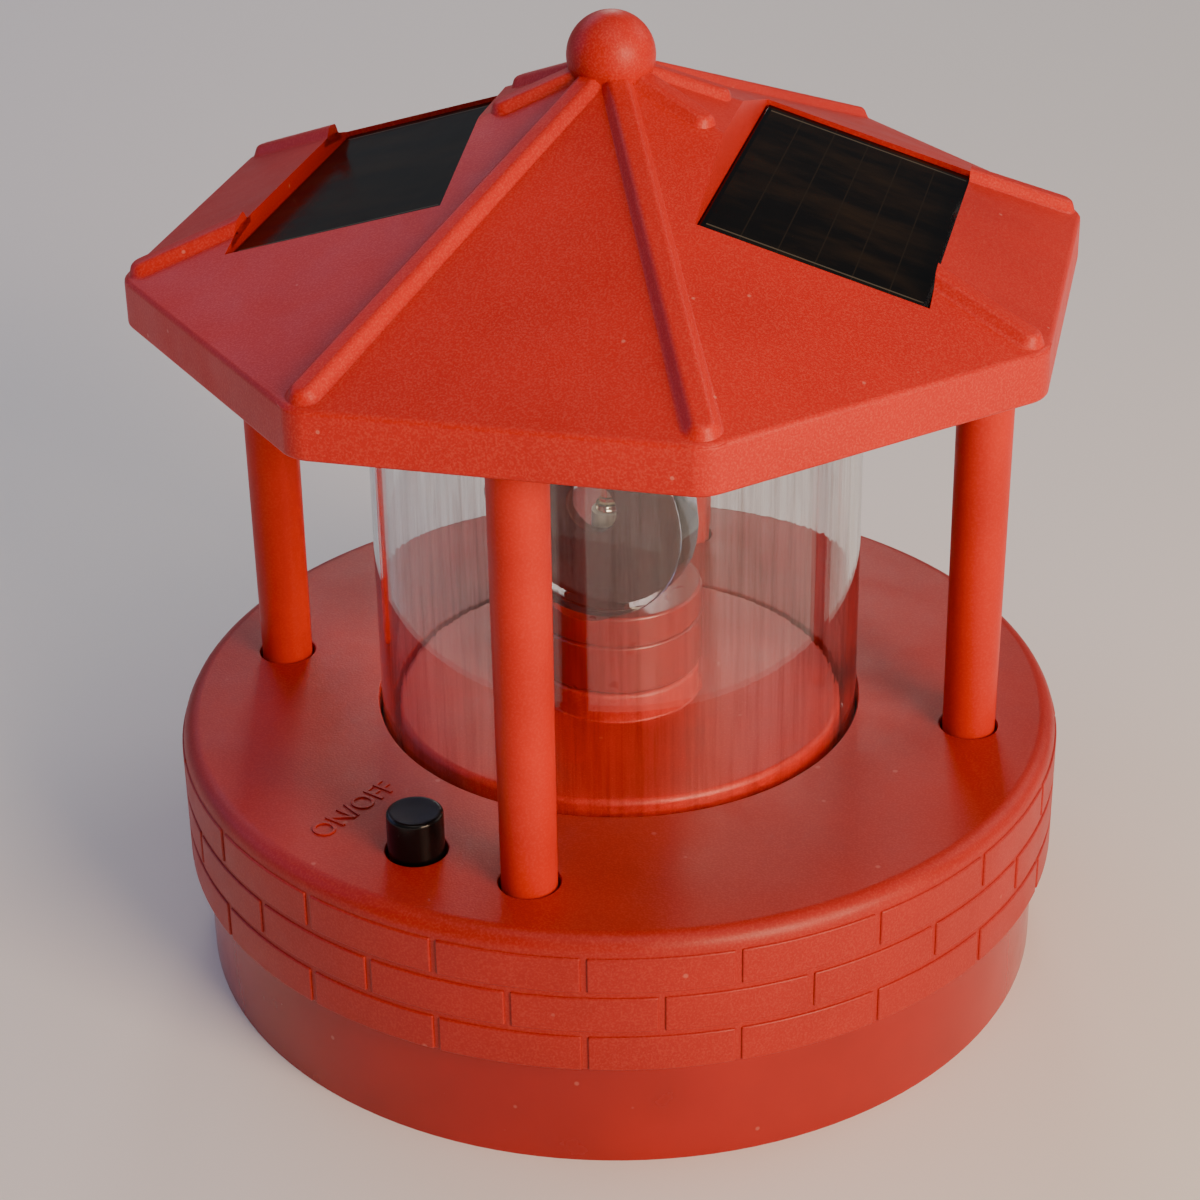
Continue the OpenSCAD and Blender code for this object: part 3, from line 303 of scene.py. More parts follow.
# the real grain is about 0.05 mm: drawn 0.3 mm and coarser, since a finer one is lost in the render
plasticSettings = {
    # ABS from a spark-eroded mould: an even grain that breaks the light into sparkle, helped by painted
    # glints in lighter specks
    'roof': dict(
        colour='c31b0b', cloudColour='b8180a', cloud=26, rough=0.44, roughSpread=0.06, wave=3.2,
        waveDepth=0.012, grain=0.3, grainDepth=0.03, fleck=0.34, fleckApart=6.5, shine=0.32,
        paintedSparkle=0.18),
    'deck': dict(
        colour='a61609', cloudColour='9b1308', cloud=22, rough=0.44, roughSpread=0.06, wave=2.4,
        waveDepth=0.01, grain=0.32, grainDepth=0.026, fleck=0.22, fleckApart=9, shine=0.42,
        paintedSparkle=0.16, paintedSparkleColour='d9604a'),
    # ABS posts from a smoother mould: one soft streak of light down each
    'post': dict(
        colour='c9240f', cloudColour='bd1f0c', cloud=14, rough=0.42, roughSpread=0.05, wave=5,
        waveDepth=0.02, grain=0.34, grainDepth=0.008, fleck=0.1, fleckApart=9, shine=0.22,
        paintedSparkle=0.08),
    # ABS from a polished mould: a clear gloss that mirrors the floor
    'skirt': dict(
        colour='a01408', cloudColour='951207', cloud=18, rough=0.24, roughSpread=0.04, wave=9,
        waveDepth=0.015, grain=2.2, grainDepth=0.002, fleck=0.2, fleckApart=8),
    'hub': dict(
        colour='86150f', cloudColour='7d130e', cloud=12, rough=0.3, roughSpread=0.05, wave=4,
        waveDepth=0.01, grain=0.3, grainDepth=0.003, fleck=0.1, fleckApart=9, coat=0.35,
        coatRough=0.22),
    # ABS inside faces from a plain milled mould: dull and even
    'inside': dict(
        colour='861409', cloudColour='7b1208', cloud=15, rough=0.5, roughSpread=0.05, wave=4,
        waveDepth=0.01, grain=0.3, grainDepth=0.008, fleck=0.1, fleckApart=9),
    'holder': dict(
        colour='4d0e0a', cloudColour='430c08', cloud=9, rough=0.38, roughSpread=0.06, wave=3,
        waveDepth=0.01, grain=1.1, grainDepth=0.004, fleck=0),
    # uncoloured moulded nylon: milky, with a slightly waxy sheen
    'nylon': dict(
        colour='e4e0d4', cloudColour='dbd6c8', cloud=9, rough=0.45, roughSpread=0.05, wave=3,
        waveDepth=0.008, grain=0.3, grainDepth=0.004, fleck=0),
    # grey moulded polypropylene: matt, faintly mottled
    'chassis': dict(
        colour='3a3d42', cloudColour='323539', cloud=9, rough=0.5, roughSpread=0.06, wave=3,
        waveDepth=0.008, grain=0.3, grainDepth=0.01, fleck=0.05, fleckApart=7),
    # black moulded PBT: dense, half matt
    'switch': dict(
        colour='1c1c1e', cloudColour='222226', cloud=6, rough=0.42, roughSpread=0.05, wave=3,
        waveDepth=0.006, grain=0.3, grainDepth=0.006, fleck=0.05, fleckApart=5),
    # black ABS from a polished mould: small hard glints and a little dust
    'button': dict(
        colour='070708', cloudColour='0b0b0c', cloud=5, rough=0.2, roughSpread=0.05, wave=4,
        waveDepth=0.006, grain=0.3, grainDepth=0.001, fleck=0.16, fleckApart=2.6, fleckColour='7c7c7c',
        shine=0.28),
    # cut EVA foam: open pores, no gloss
    'foam': dict(
        colour='26262a', cloudColour='1d1d20', cloud=2, rough=0.92, roughSpread=0.05, wave=1.2,
        waveDepth=0.06, grain=0.35, grainDepth=0.06, fleck=0, shine=0.25),
    # extruded soft PVC: smooth with a dull shine
    'leadRed': dict(
        colour='a01f1a', cloudColour='931a16', cloud=4, rough=0.4, roughSpread=0.06, wave=2,
        waveDepth=0.01, grain=0.3, grainDepth=0.003, fleck=0),
    'leadBlack': dict(
        colour='161618', cloudColour='1c1c1f', cloud=4, rough=0.4, roughSpread=0.06, wave=2,
        waveDepth=0.01, grain=0.3, grainDepth=0.003, fleck=0),
}
grainedAbsRoof = mouldedPlastic('grainedAbsRoof', plasticSettings['roof'])
grainedAbsDeck = mouldedPlastic('grainedAbsDeck', plasticSettings['deck'])
smoothAbsPost = mouldedPlastic('smoothAbsPost', plasticSettings['post'])
polishedAbsSkirt = mouldedPlastic('polishedAbsSkirt', plasticSettings['skirt'])
polishedAbsHub = mouldedPlastic('polishedAbsHub', plasticSettings['hub'])
milledAbsInside = mouldedPlastic('milledAbsInside', plasticSettings['inside'])
milledAbsHolder = mouldedPlastic('milledAbsHolder', plasticSettings['holder'])
naturalNylon = mouldedPlastic('naturalNylon', plasticSettings['nylon'])
greyPolypropylene = mouldedPlastic('greyPolypropylene', plasticSettings['chassis'])
blackPbtSwitch = mouldedPlastic('blackPbtSwitch', plasticSettings['switch'])
polishedAbsButton = mouldedPlastic('polishedAbsButton', plasticSettings['button'])
cutEvaFoam = mouldedPlastic('cutEvaFoam', plasticSettings['foam'])
redPvcLead = mouldedPlastic('redPvcLead', plasticSettings['leadRed'])
blackPvcLead = mouldedPlastic('blackPvcLead', plasticSettings['leadBlack'])


def clearPlastic(name, p):
    # clear moulding with faint flow lines; lamps shine through it without a hard shadow
    look = emptyLook(name)
    place = addNode(look, 'TexCoord').outputs['Object']
    along = addNode(look, 'Mapping', {'Scale': p.get('stretch', (1, 1, 1))}, {'Vector': place})
    ripple = addNode(look, 'TexNoise', {'Scale': 1 / (p['ripple'] * mm), 'Detail': 3}, {'Vector': along})
    links = {'Normal': addNode(look, 'Bump', {'Distance': p['rippleDepth'] * mm}, {'Height': ripple})}
    # where asked, streaks painted into the colour stand in for streaks of reflection: painted reflections
    if 'streak' in p:
        paintedReflectionStreaks = addNode(look, 'TexNoise', {
            'Scale': 1 / (p['streakSize'] * mm), 'Detail': 4, 'Roughness': 0.65}, {'Vector': along})
        lineMask = addNode(look, 'MapRange', {'From Min': 0.48, 'From Max': 0.72}, {'Value': paintedReflectionStreaks})
        links['Base Color'] = addNode(look, 'Mix', {
            'data_type': 'RGBA', 6: hexColour(p['tint']), 7: hexColour(p['streak'])},
            {0: lineMask}).outputs[2]
    shader = addNode(look, 'BsdfPrincipled', {
        'Base Color': hexColour(p['tint']), 'Transmission Weight': 1.0, 'IOR': 1.49,
        'Roughness': p['rough']}, links)
    through = addNode(look, 'BsdfTransparent', {'Color': hexColour('f2f4f4')})
    lamps = addNode(look, 'LightPath').outputs['Is Shadow Ray']
    both = addNode(look, 'MixShader', links={0: lamps, 1: shader, 2: through})
    addNode(look, 'OutputMaterial', links={'Surface': both})
    return look


# extruded acrylic: draw lines run up the tube and streak what is seen through it; the real ones are a few
# hundredths of a mm apart, drawn 2 mm apart to show; pinkish-grey streaks painted into the colour are painted
# reflections
drawnAcrylicTube = clearPlastic('drawnAcrylicTube', dict(
    tint='fafcfc', streak='c9bdba', streakSize=1.82, rough=0.012, ripple=2.6, rippleDepth=0.016,
    stretch=(1, 1, 0.04)))
# acrylic from a polished mould: clear, with a bright rim
polishedAcrylicLens = clearPlastic('polishedAcrylicLens', dict(
    tint='f8fbfb', rough=0.01, ripple=5, rippleDepth=0.02))
# cast epoxy round the lamp's chip: faintly yellow
castEpoxyLed = clearPlastic('castEpoxyLed', dict(tint='fff6cf', rough=0.05, ripple=1.2, rippleDepth=0.01))


def cutMetal(name, p):
    # turned or rolled metal with fine marks round its axis and a little tarnish
    look = emptyLook(name)
    place = addNode(look, 'TexCoord').outputs['Object']
    around = addNode(look, 'Mapping', {'Scale': (1, 1, 8)}, {'Vector': place})
    scratch = addNode(look, 'TexNoise', {'Scale': 1 / (p['marks'] * mm), 'Detail': 4, 'Roughness': 0.7},
                      {'Vector': around})
    tarnish = addNode(look, 'TexNoise', {'Scale': 1 / (p['tarnish'] * mm), 'Detail': 3}, {'Vector': place})
    tarnishMask = addNode(look, 'MapRange', {'From Min': 0.3, 'From Max': 0.7}, {'Value': tarnish})
    colour = addNode(look, 'Mix', {
        'data_type': 'RGBA', 6: hexColour(p['colour']), 7: hexColour(p['tarnishColour'])},
        {0: tarnishMask}).outputs[2]
    roughSpread = 0.08
    gloss = addNode(look, 'MapRange', {
        'From Min': 0.3, 'From Max': 0.7, 'To Min': p['rough'] - roughSpread,
        'To Max': p['rough'] + roughSpread}, {'Value': scratch})
    bump = addNode(look, 'Bump', {'Distance': p['depth'] * mm}, {'Height': scratch})
    shader = addNode(look, 'BsdfPrincipled', {'Metallic': 1.0},
                     {'Base Color': colour, 'Roughness': gloss, 'Normal': bump})
    addNode(look, 'OutputMaterial', links={'Surface': shader})
    return look


# zinc-plated steel screws: pale and slightly cloudy
zincPlatedScrew = cutMetal('zincPlatedScrew', dict(
    colour='b4b6ba', tarnishColour='8f9094', marks=0.5, tarnish=2.5, rough=0.34, depth=0.006))
# nickel-plated rolled steel can: darker, with lines round it
rolledSteelCan = cutMetal('rolledSteelCan', dict(
    colour='9b9fa4', tarnishColour='85888d', marks=0.8, tarnish=5, rough=0.38, depth=0.006))
# turned brass: warm, ringed by the tool
turnedBrass = cutMetal('turnedBrass', dict(
    colour='c9a35a', tarnishColour='a98340', marks=0.4, tarnish=2, rough=0.3, depth=0.004))


def pvcSleeve():
    # PVC sleeve shrunk on the cell: taut and glossy, with a pale band at one end
    p = dict(colour='3f8f56', band='d8d8d2', bandFrom=20, bandEdge=0.1, rough=0.22, ripple=4, depth=0.02)
    look = emptyLook('shrunkPvcSleeve')
    place = addNode(look, 'TexCoord').outputs['Object']
    side = addNode(look, 'SeparateXYZ', links={'Vector': place}).outputs['X']
    band = addNode(look, 'MapRange', {
        'From Min': p['bandFrom'] * mm, 'From Max': (p['bandFrom'] + p['bandEdge']) * mm}, {'Value': side})
    colour = addNode(look, 'Mix', {'data_type': 'RGBA', 6: hexColour(p['colour']), 7: hexColour(p['band'])},
                     {0: band}).outputs[2]
    ripple = addNode(look, 'TexNoise', {'Scale': 1 / (p['ripple'] * mm)}, {'Vector': place})
    bump = addNode(look, 'Bump', {'Distance': p['depth'] * mm}, {'Height': ripple})
    shader = addNode(look, 'BsdfPrincipled', {'Roughness': p['rough'], 'Coat Weight': 0.4},
                     {'Base Color': colour, 'Normal': bump})
    addNode(look, 'OutputMaterial', links={'Surface': shader})
    return look


def boardLaminate():
    # glass-epoxy board under green lacquer: lighter tracks stand a little proud
    p = dict(colour='1d6a3c', track='2f8a52', pitch=2.5, trackWide=0.06, rough=0.35, depth=0.02)
    look = emptyLook('lacqueredBoard')
    place = addNode(look, 'TexCoord').outputs['Object']
    tracks = addNode(look, 'TexBrick', {
        'Scale': 1 / (p['pitch'] * mm), 'Mortar Size': p['trackWide'], 'Color1': hexColour(p['colour']),
        'Color2': hexColour(p['colour']), 'Mortar': hexColour(p['track'])}, {'Vector': place})
    bump = addNode(look, 'Bump', {'Distance': p['depth'] * mm}, {'Height': tracks.outputs[1]})
    shader = addNode(look, 'BsdfPrincipled', {'Roughness': p['rough']},
                     {'Base Color': tracks, 'Normal': bump})
    addNode(look, 'OutputMaterial', links={'Surface': shader})
    return look


panelSize = dict(length=55.0, width=33.4, thick=2.4, tilt=17, x=34.2, z=125.46, bed=3.0, gap=0.25,
                 bedWall=1.8, shaft=30, lap=0.02, edge=0.35)


def solarGlaze(name, side):
    # silicon cells under poured epoxy: near black with brown streaks, thin lines along it, two bars across
    # the real lines are 0.05 mm wide: drawn 0.12 mm to show
    p = dict(cell='090604', cellWarm='251a0d', line='221b12', bar='544e42', edge='020202', apart=5.4,
             lineWide=0.12, lineEdge=0.05, barAt=25.0, barWide=0.35, barEdge=0.06, border=0.9,
             borderEdge=0.05, streak=9, streakStretch=(0.35, 1, 1), patch=3, rough=0.12, roughMost=0.24,
             swell=11, swellDepth=0.05)
    look = emptyLook(name)
    objectPlace = addNode(look, 'TexCoord').outputs['Object']
    size = panelSize
    place = addNode(look, 'Mapping', {
        'vector_type': 'TEXTURE', 'Location': (side * size['x'] * mm, 0, size['z'] * mm),
        'Rotation': (0, radians(size['tilt']), 0 if side > 0 else pi)}, {'Vector': objectPlace}).outputs[0]
    parts = addNode(look, 'SeparateXYZ', links={'Vector': place})
    down, along = parts.outputs['X'], parts.outputs['Y']
    half = p['apart'] / 2 * mm
    wrapped = addNode(look, 'Math', {'operation': 'WRAP', 1: -half, 2: half}, {0: down})
    fromLine = addNode(look, 'Math', {'operation': 'ABSOLUTE'}, {0: wrapped})
    lineMask = addNode(look, 'MapRange', {
        'From Min': p['lineWide'] / 2 * mm, 'From Max': (p['lineWide'] / 2 + p['lineEdge']) * mm, 'To Min': 1,
        'To Max': 0}, {'Value': fromLine})
    fromMiddle = addNode(look, 'Math', {'operation': 'ABSOLUTE'}, {0: along})
    pastBar = addNode(look, 'Math', {'operation': 'SUBTRACT', 1: p['barAt'] * mm}, {0: fromMiddle})
    fromBar = addNode(look, 'Math', {'operation': 'ABSOLUTE'}, {0: pastBar})
    barMask = addNode(look, 'MapRange', {
        'From Min': p['barWide'] / 2 * mm, 'From Max': (p['barWide'] / 2 + p['barEdge']) * mm, 'To Min': 1,
        'To Max': 0}, {'Value': fromBar})
    fromEnd = addNode(look, 'Math', {'operation': 'SUBTRACT', 0: size['length'] / 2 * mm}, {1: fromMiddle})
    fromSpine = addNode(look, 'Math', {'operation': 'ABSOLUTE'}, {0: down})
    fromSide = addNode(look, 'Math', {'operation': 'SUBTRACT', 0: size['width'] / 2 * mm}, {1: fromSpine})
    fromEdge = addNode(look, 'Math', {'operation': 'MINIMUM'}, {0: fromEnd, 1: fromSide})
    edgeMask = addNode(look, 'MapRange', {
        'From Min': (p['border'] - p['borderEdge']) * mm, 'From Max': p['border'] * mm, 'To Min': 1,
        'To Max': 0}, {'Value': fromEdge})
    stretched = addNode(look, 'Mapping', {'Scale': p['streakStretch']}, {'Vector': place})
    brown = addNode(look, 'TexNoise', {'Scale': 1 / (p['streak'] * mm), 'Detail': 5, 'Roughness': 0.6},
                    {'Vector': stretched})
    brownMask = addNode(look, 'MapRange', {'From Min': 0.42, 'From Max': 0.68}, {'Value': brown})
    colour = addNode(look, 'Mix', {'data_type': 'RGBA', 6: hexColour(p['cell']), 7: hexColour(p['cellWarm'])},
                     {0: brownMask}).outputs[2]
    for mask, over in ((lineMask, 'line'), (barMask, 'bar'), (edgeMask, 'edge')):
        colour = addNode(look, 'Mix', {'data_type': 'RGBA', 7: hexColour(p[over])},
                         {0: mask, 6: colour}).outputs[2]
    patches = addNode(look, 'TexNoise', {'Scale': 1 / (p['patch'] * mm), 'Detail': 4}, {'Vector': place})
    gloss = addNode(look, 'MapRange', {
        'From Min': 0.3, 'From Max': 0.7, 'To Min': p['rough'], 'To Max': p['roughMost']}, {'Value': patches})
    swell = addNode(look, 'TexNoise', {'Scale': 1 / (p['swell'] * mm)}, {'Vector': place})
    bump = addNode(look, 'Bump', {'Distance': p['swellDepth'] * mm}, {'Height': swell})
    shader = addNode(look, 'BsdfPrincipled', {'IOR': 1.35, 'Specular IOR Level': 0.12},
                     {'Base Color': colour, 'Roughness': gloss, 'Normal': bump})
    addNode(look, 'OutputMaterial', links={'Surface': shader})
    return look


shrunkPvcSleeve = pvcSleeve()
lacqueredBoard = boardLaminate()
pouredEpoxyRight = solarGlaze('pouredEpoxyRight', 1)
pouredEpoxyLeft = solarGlaze('pouredEpoxyLeft', -1)
print("looks mixed")

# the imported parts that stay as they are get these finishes
looksBySlot = {
    'red_plastic': polishedAbsSkirt, 'dark_red_plastic': milledAbsInside, 'solar_cell': pouredEpoxyRight,
    'foam': cutEvaFoam, 'clear_tube': drawnAcrylicTube, 'clear_lens': polishedAcrylicLens,
    'led_body': castEpoxyLed, 'screw_steel': zincPlatedScrew, 'brass_parts': turnedBrass,
    'pale_plastic': naturalNylon, 'chassis_plastic': greyPolypropylene, 'motor_metal': rolledSteelCan,
    'switch_plastic': blackPbtSwitch, 'button_plastic': polishedAbsButton, 'cell_sleeve': shrunkPvcSleeve,
    'board_laminate': lacqueredBoard, 'lead_red': redPvcLead, 'lead_black': blackPvcLead,
}
for part in frame['record']['subparts']:
    obj = frame['nodes'][part['node']]
    obj.data.materials.clear()
    obj.data.materials.append(looksBySlot[part['material_slot']])


# the roof: a rounded octagon drawn up to a peak, hollow from below, with two beds for the panels
roofSize = dict(corner=72.3, low=109.0, eave=116.3, peak=144.5, wall=2.4, shell=2.2, cornerEase=2.1,
                eaveEase=0.7, lipEase=0.7, lipFrom=65.6, tip=0.01, innerTip=0.02, bedShrink=0.998,
                traySunk=0.12, edgeEase=0.25)
ribSize = dict(flat=1.35, top=1.3, foot=2.55, shoulder=1.15, fillet=1.3, reach=3.8, deep=1.5, fall=0.1505,
               nose=68.9, shortNose=15.6, trim=0.9992)


def roofSolid(name):
    p = roofSize
    bpy.ops.object.select_all(action='DESELECT')
    middle = (p['low'] + p['eave']) / 2
    bpy.ops.mesh.primitive_cylinder_add(
        vertices=8, radius=p['corner'] * mm, depth=(p['eave'] - p['low']) * mm,
        location=(0, 0, middle * mm), rotation=(0, 0, radians(22.5)))
    roof = bpy.context.object
    roof.name = name
    settle(roof)
    startEditing(roof)
    pick('EDGE', lambda c, e: abs(c.z - middle) < 0.1)
    bpy.ops.mesh.bevel(offset=p['cornerEase'] * mm, segments=5, profile=0.5)
    pick('FACE', lambda c, f: abs(c.z - p['eave']) < 0.01)
    bpy.ops.mesh.extrude_region_move(TRANSFORM_OT_translate={"value": (0, 0, (p['peak'] - p['eave']) * mm)})
    bpy.ops.transform.resize(value=(p['tip'], p['tip'], 1), center_override=(0, 0, p['peak'] * mm))
    return roof


def bedCutter(side, grow):
    # the panel's bed: a tilted box, and a shaft that opens it straight upwards
    p = panelSize
    tilt = radians(p['tilt'])
    long = (p['length'] + 2 * p['gap'] + 2 * grow) * mm
    wide = (p['width'] + 2 * p['gap'] + 2 * grow) * mm
    deep = (p['bed'] + grow) * mm
    face = Vector((side * p['x'], 0, p['z'])) * mm
    up = Vector((side * sin(tilt), 0, cos(tilt)))
    bpy.ops.object.select_all(action='DESELECT')
    bpy.ops.mesh.primitive_cube_add(size=1, location=face - up * deep / 2, rotation=(0, side * tilt, 0),
                                    scale=(wide, long, deep))
    bed = bpy.context.object
    settle(bed)
    bpy.ops.object.select_all(action='DESELECT')
    bpy.ops.mesh.primitive_cube_add(size=1, location=face, scale=(wide * cos(tilt), long, p['shaft'] * mm))
    shaft = bpy.context.object
    settle(shaft)
    startEditing(shaft)
    bpy.ops.mesh.select_all(action='SELECT')
    bpy.ops.mesh.bisect(plane_co=face - up * p['lap'] * mm, plane_no=up, use_fill=True, clear_inner=True)
    leaveEditing()
    carve(bed, shaft, 'UNION')
    return bed


def buildRoof():
    p = roofSize
    slope = atan((p['peak'] - p['eave']) / (p['corner'] * cos(radians(22.5))))
    drop = p['shell'] / cos(slope)
    roof = roofSolid('roofShell')
    leaveEditing()
    solid = twinOf(roof, 'roofForBeds')
    solid.location = (0, 0, -p['traySunk'] * mm)  # the bed walls stop just under the roof's skin
    solid.scale = (p['bedShrink'], p['bedShrink'], 1)
    settle(solid)
    startEditing(roof)
    pick('FACE', lambda c, f: abs(c.z - p['low']) < 0.01)
    bpy.ops.mesh.inset(thickness=p['wall'] * mm)
    innerEdge = p['eave'] - drop + p['wall'] * tan(slope)
    bpy.ops.mesh.extrude_region_move(TRANSFORM_OT_translate={"value": (0, 0, (innerEdge - p['low']) * mm)})
    innerPeak = p['peak'] - drop
    bpy.ops.mesh.extrude_region_move(TRANSFORM_OT_translate={"value": (0, 0, (innerPeak - innerEdge) * mm)})
    bpy.ops.transform.resize(value=(p['innerTip'], p['innerTip'], 1), center_override=(0, 0, innerPeak * mm))
    pick('EDGE', lambda c, e: abs(c.z - p['eave']) < 0.01 and abs(e.verts[0].co.z - e.verts[1].co.z) < 1e-6)
    bpy.ops.mesh.bevel(offset=p['eaveEase'] * mm, segments=4)
    pick('EDGE', lambda c, e: abs(c.z - p['low']) < 0.01 and Vector(c.xy).length > p['lipFrom']
         and abs(Vector(e.verts[0].co.xy).length - Vector(e.verts[1].co.xy).length) < mm)
    bpy.ops.mesh.bevel(offset=p['lipEase'] * mm, segments=4)
    leaveEditing()
    for side in (1, -1):
        tray = twinOf(solid, 'bedTray')
        carve(tray, bedCutter(side, panelSize['bedWall']), 'INTERSECT')
        carve(roof, tray, 'UNION')
        carve(roof, bedCutter(side, 0))
    bpy.data.objects.remove(solid, do_unlink=True)
    softenEdges(roof, p['edgeEase'], 2, 40)
    return roof


def buildRib(angle, nose):
    # a low rib with hollow flanks that run out into the roof, and a rounded nose at its lower end
    p, r = roofSize, ribSize
    ridge = atan((p['peak'] - p['eave']) / p['corner'])
    fall = r['fall']  # how steeply the roof falls away on both sides of a ridge
    half = [tuple(c) for c in roundCorners([
        (0, r['top']), (r['flat'], r['top'], r['shoulder']), (r['foot'], -r['foot'] * fall, r['fillet']),
        (r['reach'], -r['reach'] * fall - 0.03), (r['reach'], -r['deep']), (0, -r['deep'])])]
    length = nose / cos(ridge)
    rib = barAlong('rib', half + [(-c[0], c[1]) for c in reversed(half[1:-1])], length)
    end = turned('ribNose', half, steps=18, sweep=180, start=-90)
    end.location = (length * mm, 0, 0)
    settle(end)
    rib = joined('rib', rib, end)
    startEditing(rib)
    pick('FACE', lambda c, f: abs(c.x - length) < 0.01 and abs(f.normal.x) > 0.99)
    bpy.ops.mesh.delete(type='FACE')
    closeUp()
    rib.rotation_euler = (0, ridge, 0)
    rib.location = (0, 0, p['peak'] * mm)
    settle(rib)
    return turnedAbout(rib, angle)


def buildRibs():
    # each is trimmed to the roof's outline
    # those that meet a panel are in two lengths, one each side of its bed
    ribs = []
    edge = panelSize['x'] + (panelSize['width'] / 2 + panelSize['gap']) * cos(radians(panelSize['tilt']))
    for i in range(8):
        angle = 22.5 + 45 * i
        rib = buildRib(angle, ribSize['nose'])
        column = roofSolid('column')
        leaveEditing()
        tall = 3  # stretched upwards, so that only the column's sides trim the rib
        column.scale = (ribSize['trim'], ribSize['trim'], tall)
        column.location = (0, 0, (1 - tall) * roofSize['low'] * mm)
        settle(column)
        carve(rib, column, 'INTERSECT')
        if abs(cos(radians(angle))) > 0.7:
            side = 1 if cos(radians(angle)) > 0 else -1
            startEditing(rib)
            bpy.ops.mesh.select_all(action='SELECT')
            bpy.ops.mesh.bisect(plane_co=(side * edge * mm, 0, 0), plane_no=(side, 0, 0),
                                use_fill=True, clear_inner=True)
            leaveEditing()
            ribs.append(buildRib(angle, ribSize['shortNose']))
        ribs.append(rib)
    return ribs


roofShell = buildRoof()
roofShell = joined('roofShell', roofShell, *buildRibs())
finished(roofShell, 'base', 'roof_cap', grainedAbsRoof, 30)
print("roof drawn up, faces:", len(roofShell.data.polygons))

finialSize = dict(radius=6.5, height=145.3, pegRadius=2, pegLow=133.8)


def buildFinial():
    p = finialSize
    high, low = p['height'] + p['radius'], p['height'] - p['radius']
    ease = p['radius'] * 0.999  # just short of a full quarter, so that the two arcs don't touch
    ball = turned('finialBall', [
        (0, high), (p['radius'], high, ease), (p['radius'], low, ease), (p['pegRadius'], low),
        (p['pegRadius'], p['pegLow'], 0.4), (0, p['pegLow'])], steps=72, arc=18)
    return finished(ball, 'base', 'roof_finial', grainedAbsRoof, 50)


buildFinial()


# the solar panels: a dark laminate under clear resin with soft edges
def buildPanel(side, name, node, look):
    p = panelSize
    tilt = radians(p['tilt'])
    up = Vector((side * sin(tilt), 0, cos(tilt)))
    face = Vector((side * p['x'], 0, p['z'])) * mm
    bpy.ops.object.select_all(action='DESELECT')
    bpy.ops.mesh.primitive_cube_add(size=1, location=face - up * p['thick'] / 2 * mm,
                                    rotation=(0, side * tilt, 0),
                                    scale=(p['width'] * mm, p['length'] * mm, p['thick'] * mm))
    panel = bpy.context.object
    panel.name = name
    settle(panel)
    softenEdges(panel, p['edge'], 3, 30)
    return finished(panel, 'base', node, look, 50)


buildPanel(1, 'solarPanelRight', 'solar_panel_right', pouredEpoxyRight)
buildPanel(-1, 'solarPanelLeft', 'solar_panel_left', pouredEpoxyLeft)
print("panels laid")

# four hollow posts, a little thicker at the top
postSize = dict(ring=56.3, foot=4.05, top=4.35, bore=2.0, low=31.0, shoulder=111.6, spigot=3.0, end=113.4)


def buildPosts():
    p = postSize
    post = turned('postPattern', [
        (p['bore'], p['low']), (p['foot'], p['low'], 0.5), (p['top'], p['shoulder'], 0.2),
        (p['spigot'], p['shoulder']), (p['spigot'], p['end'], 0.4), (p['bore'], p['end'])], steps=56)
    for name, node, angle in (('postRight', 'post_right', 0), ('postBack', 'post_back', 90),
                              ('postLeft', 'post_left', 180), ('postFront', 'post_front', -90)):
        twin = twinOf(post, name)
        twin.location = (*[c * mm for c in onRing(p['ring'], angle)], 0)
        finished(twin, 'base', node, smoothAbsPost, 40)
    bpy.data.objects.remove(post, do_unlink=True)


buildPosts()

# the clear tube, with its cut ends just broken
tubeSize = dict(outer=38.0, inner=36.4, low=37.2, high=110.8, ease=0.25)


def buildTube():
    p = tubeSize
    tube = turned('clearTube', [
        (p['inner'], p['low'], p['ease']), (p['outer'], p['low'], p['ease']),
        (p['outer'], p['high'], p['ease']), (p['inner'], p['high'], p['ease'])], steps=220)
    return finished(tube, 'base', 'lamp_tube', drawnAcrylicTube, 40)


buildTube()
print("posts and tube set")

# the base: wall, rounded deck edge, groove for the tube in its channel, raised disc and boss in one section
baseSize = dict(wall=69.68, inner=66.9, low=18.2, deck=40.4, deckEase=2.7, under=38.0, grooveOut=38.45,
                grooveIn=35.5, grooveLow=36.4, disc=41.6, discEase=1.0, boss=13.0, bossTop=46.5, bossEase=0.8,
                bossRoot=9.55, bossLow=33.4, channelIn=33.7, channelOut=40.25, channelLow=34.6, bore=6.56,
                socketRing=56.3, socket=4.5, socketLow=31.0, cup=6.9, cupBore=2.1, cupLow=29.4, cupTop=39.0,
                buttonRing=55.0, buttonAngle=-109.32, buttonHole=4.6, rimEase=0.3)
brickSize = dict(low=18.2, pitch=6.7, mortar=0.9, courses=3, around=20, face=69.98, sunk=0.6, ease=0.28)


def buildBricks():
    b, s = brickSize, baseSize
    gap = b['mortar'] / b['face'] * 180 / pi
    wide = 360 / b['around'] - gap
    high = b['pitch'] - b['mortar']
    bricks = []
    for course in range(b['courses']):
        low = b['low'] + course * b['pitch']
        root = s['wall'] - b['sunk']
        brick = turned('brick', [(root, low), (b['face'], low), (b['face'], low + high), (root, low + high)],
                       steps=8, sweep=wide, start=-wide / 2)
        softenEdges(brick, b['ease'], 3, 50)
        first = 0 if course % 2 == 0 else 180 / b['around']
        for i in range(b['around']):
            bricks.append(turnedAbout(twinOf(brick, 'brick'), first + 360 / b['around'] * i))
        bpy.data.objects.remove(brick, do_unlink=True)
    return bricks


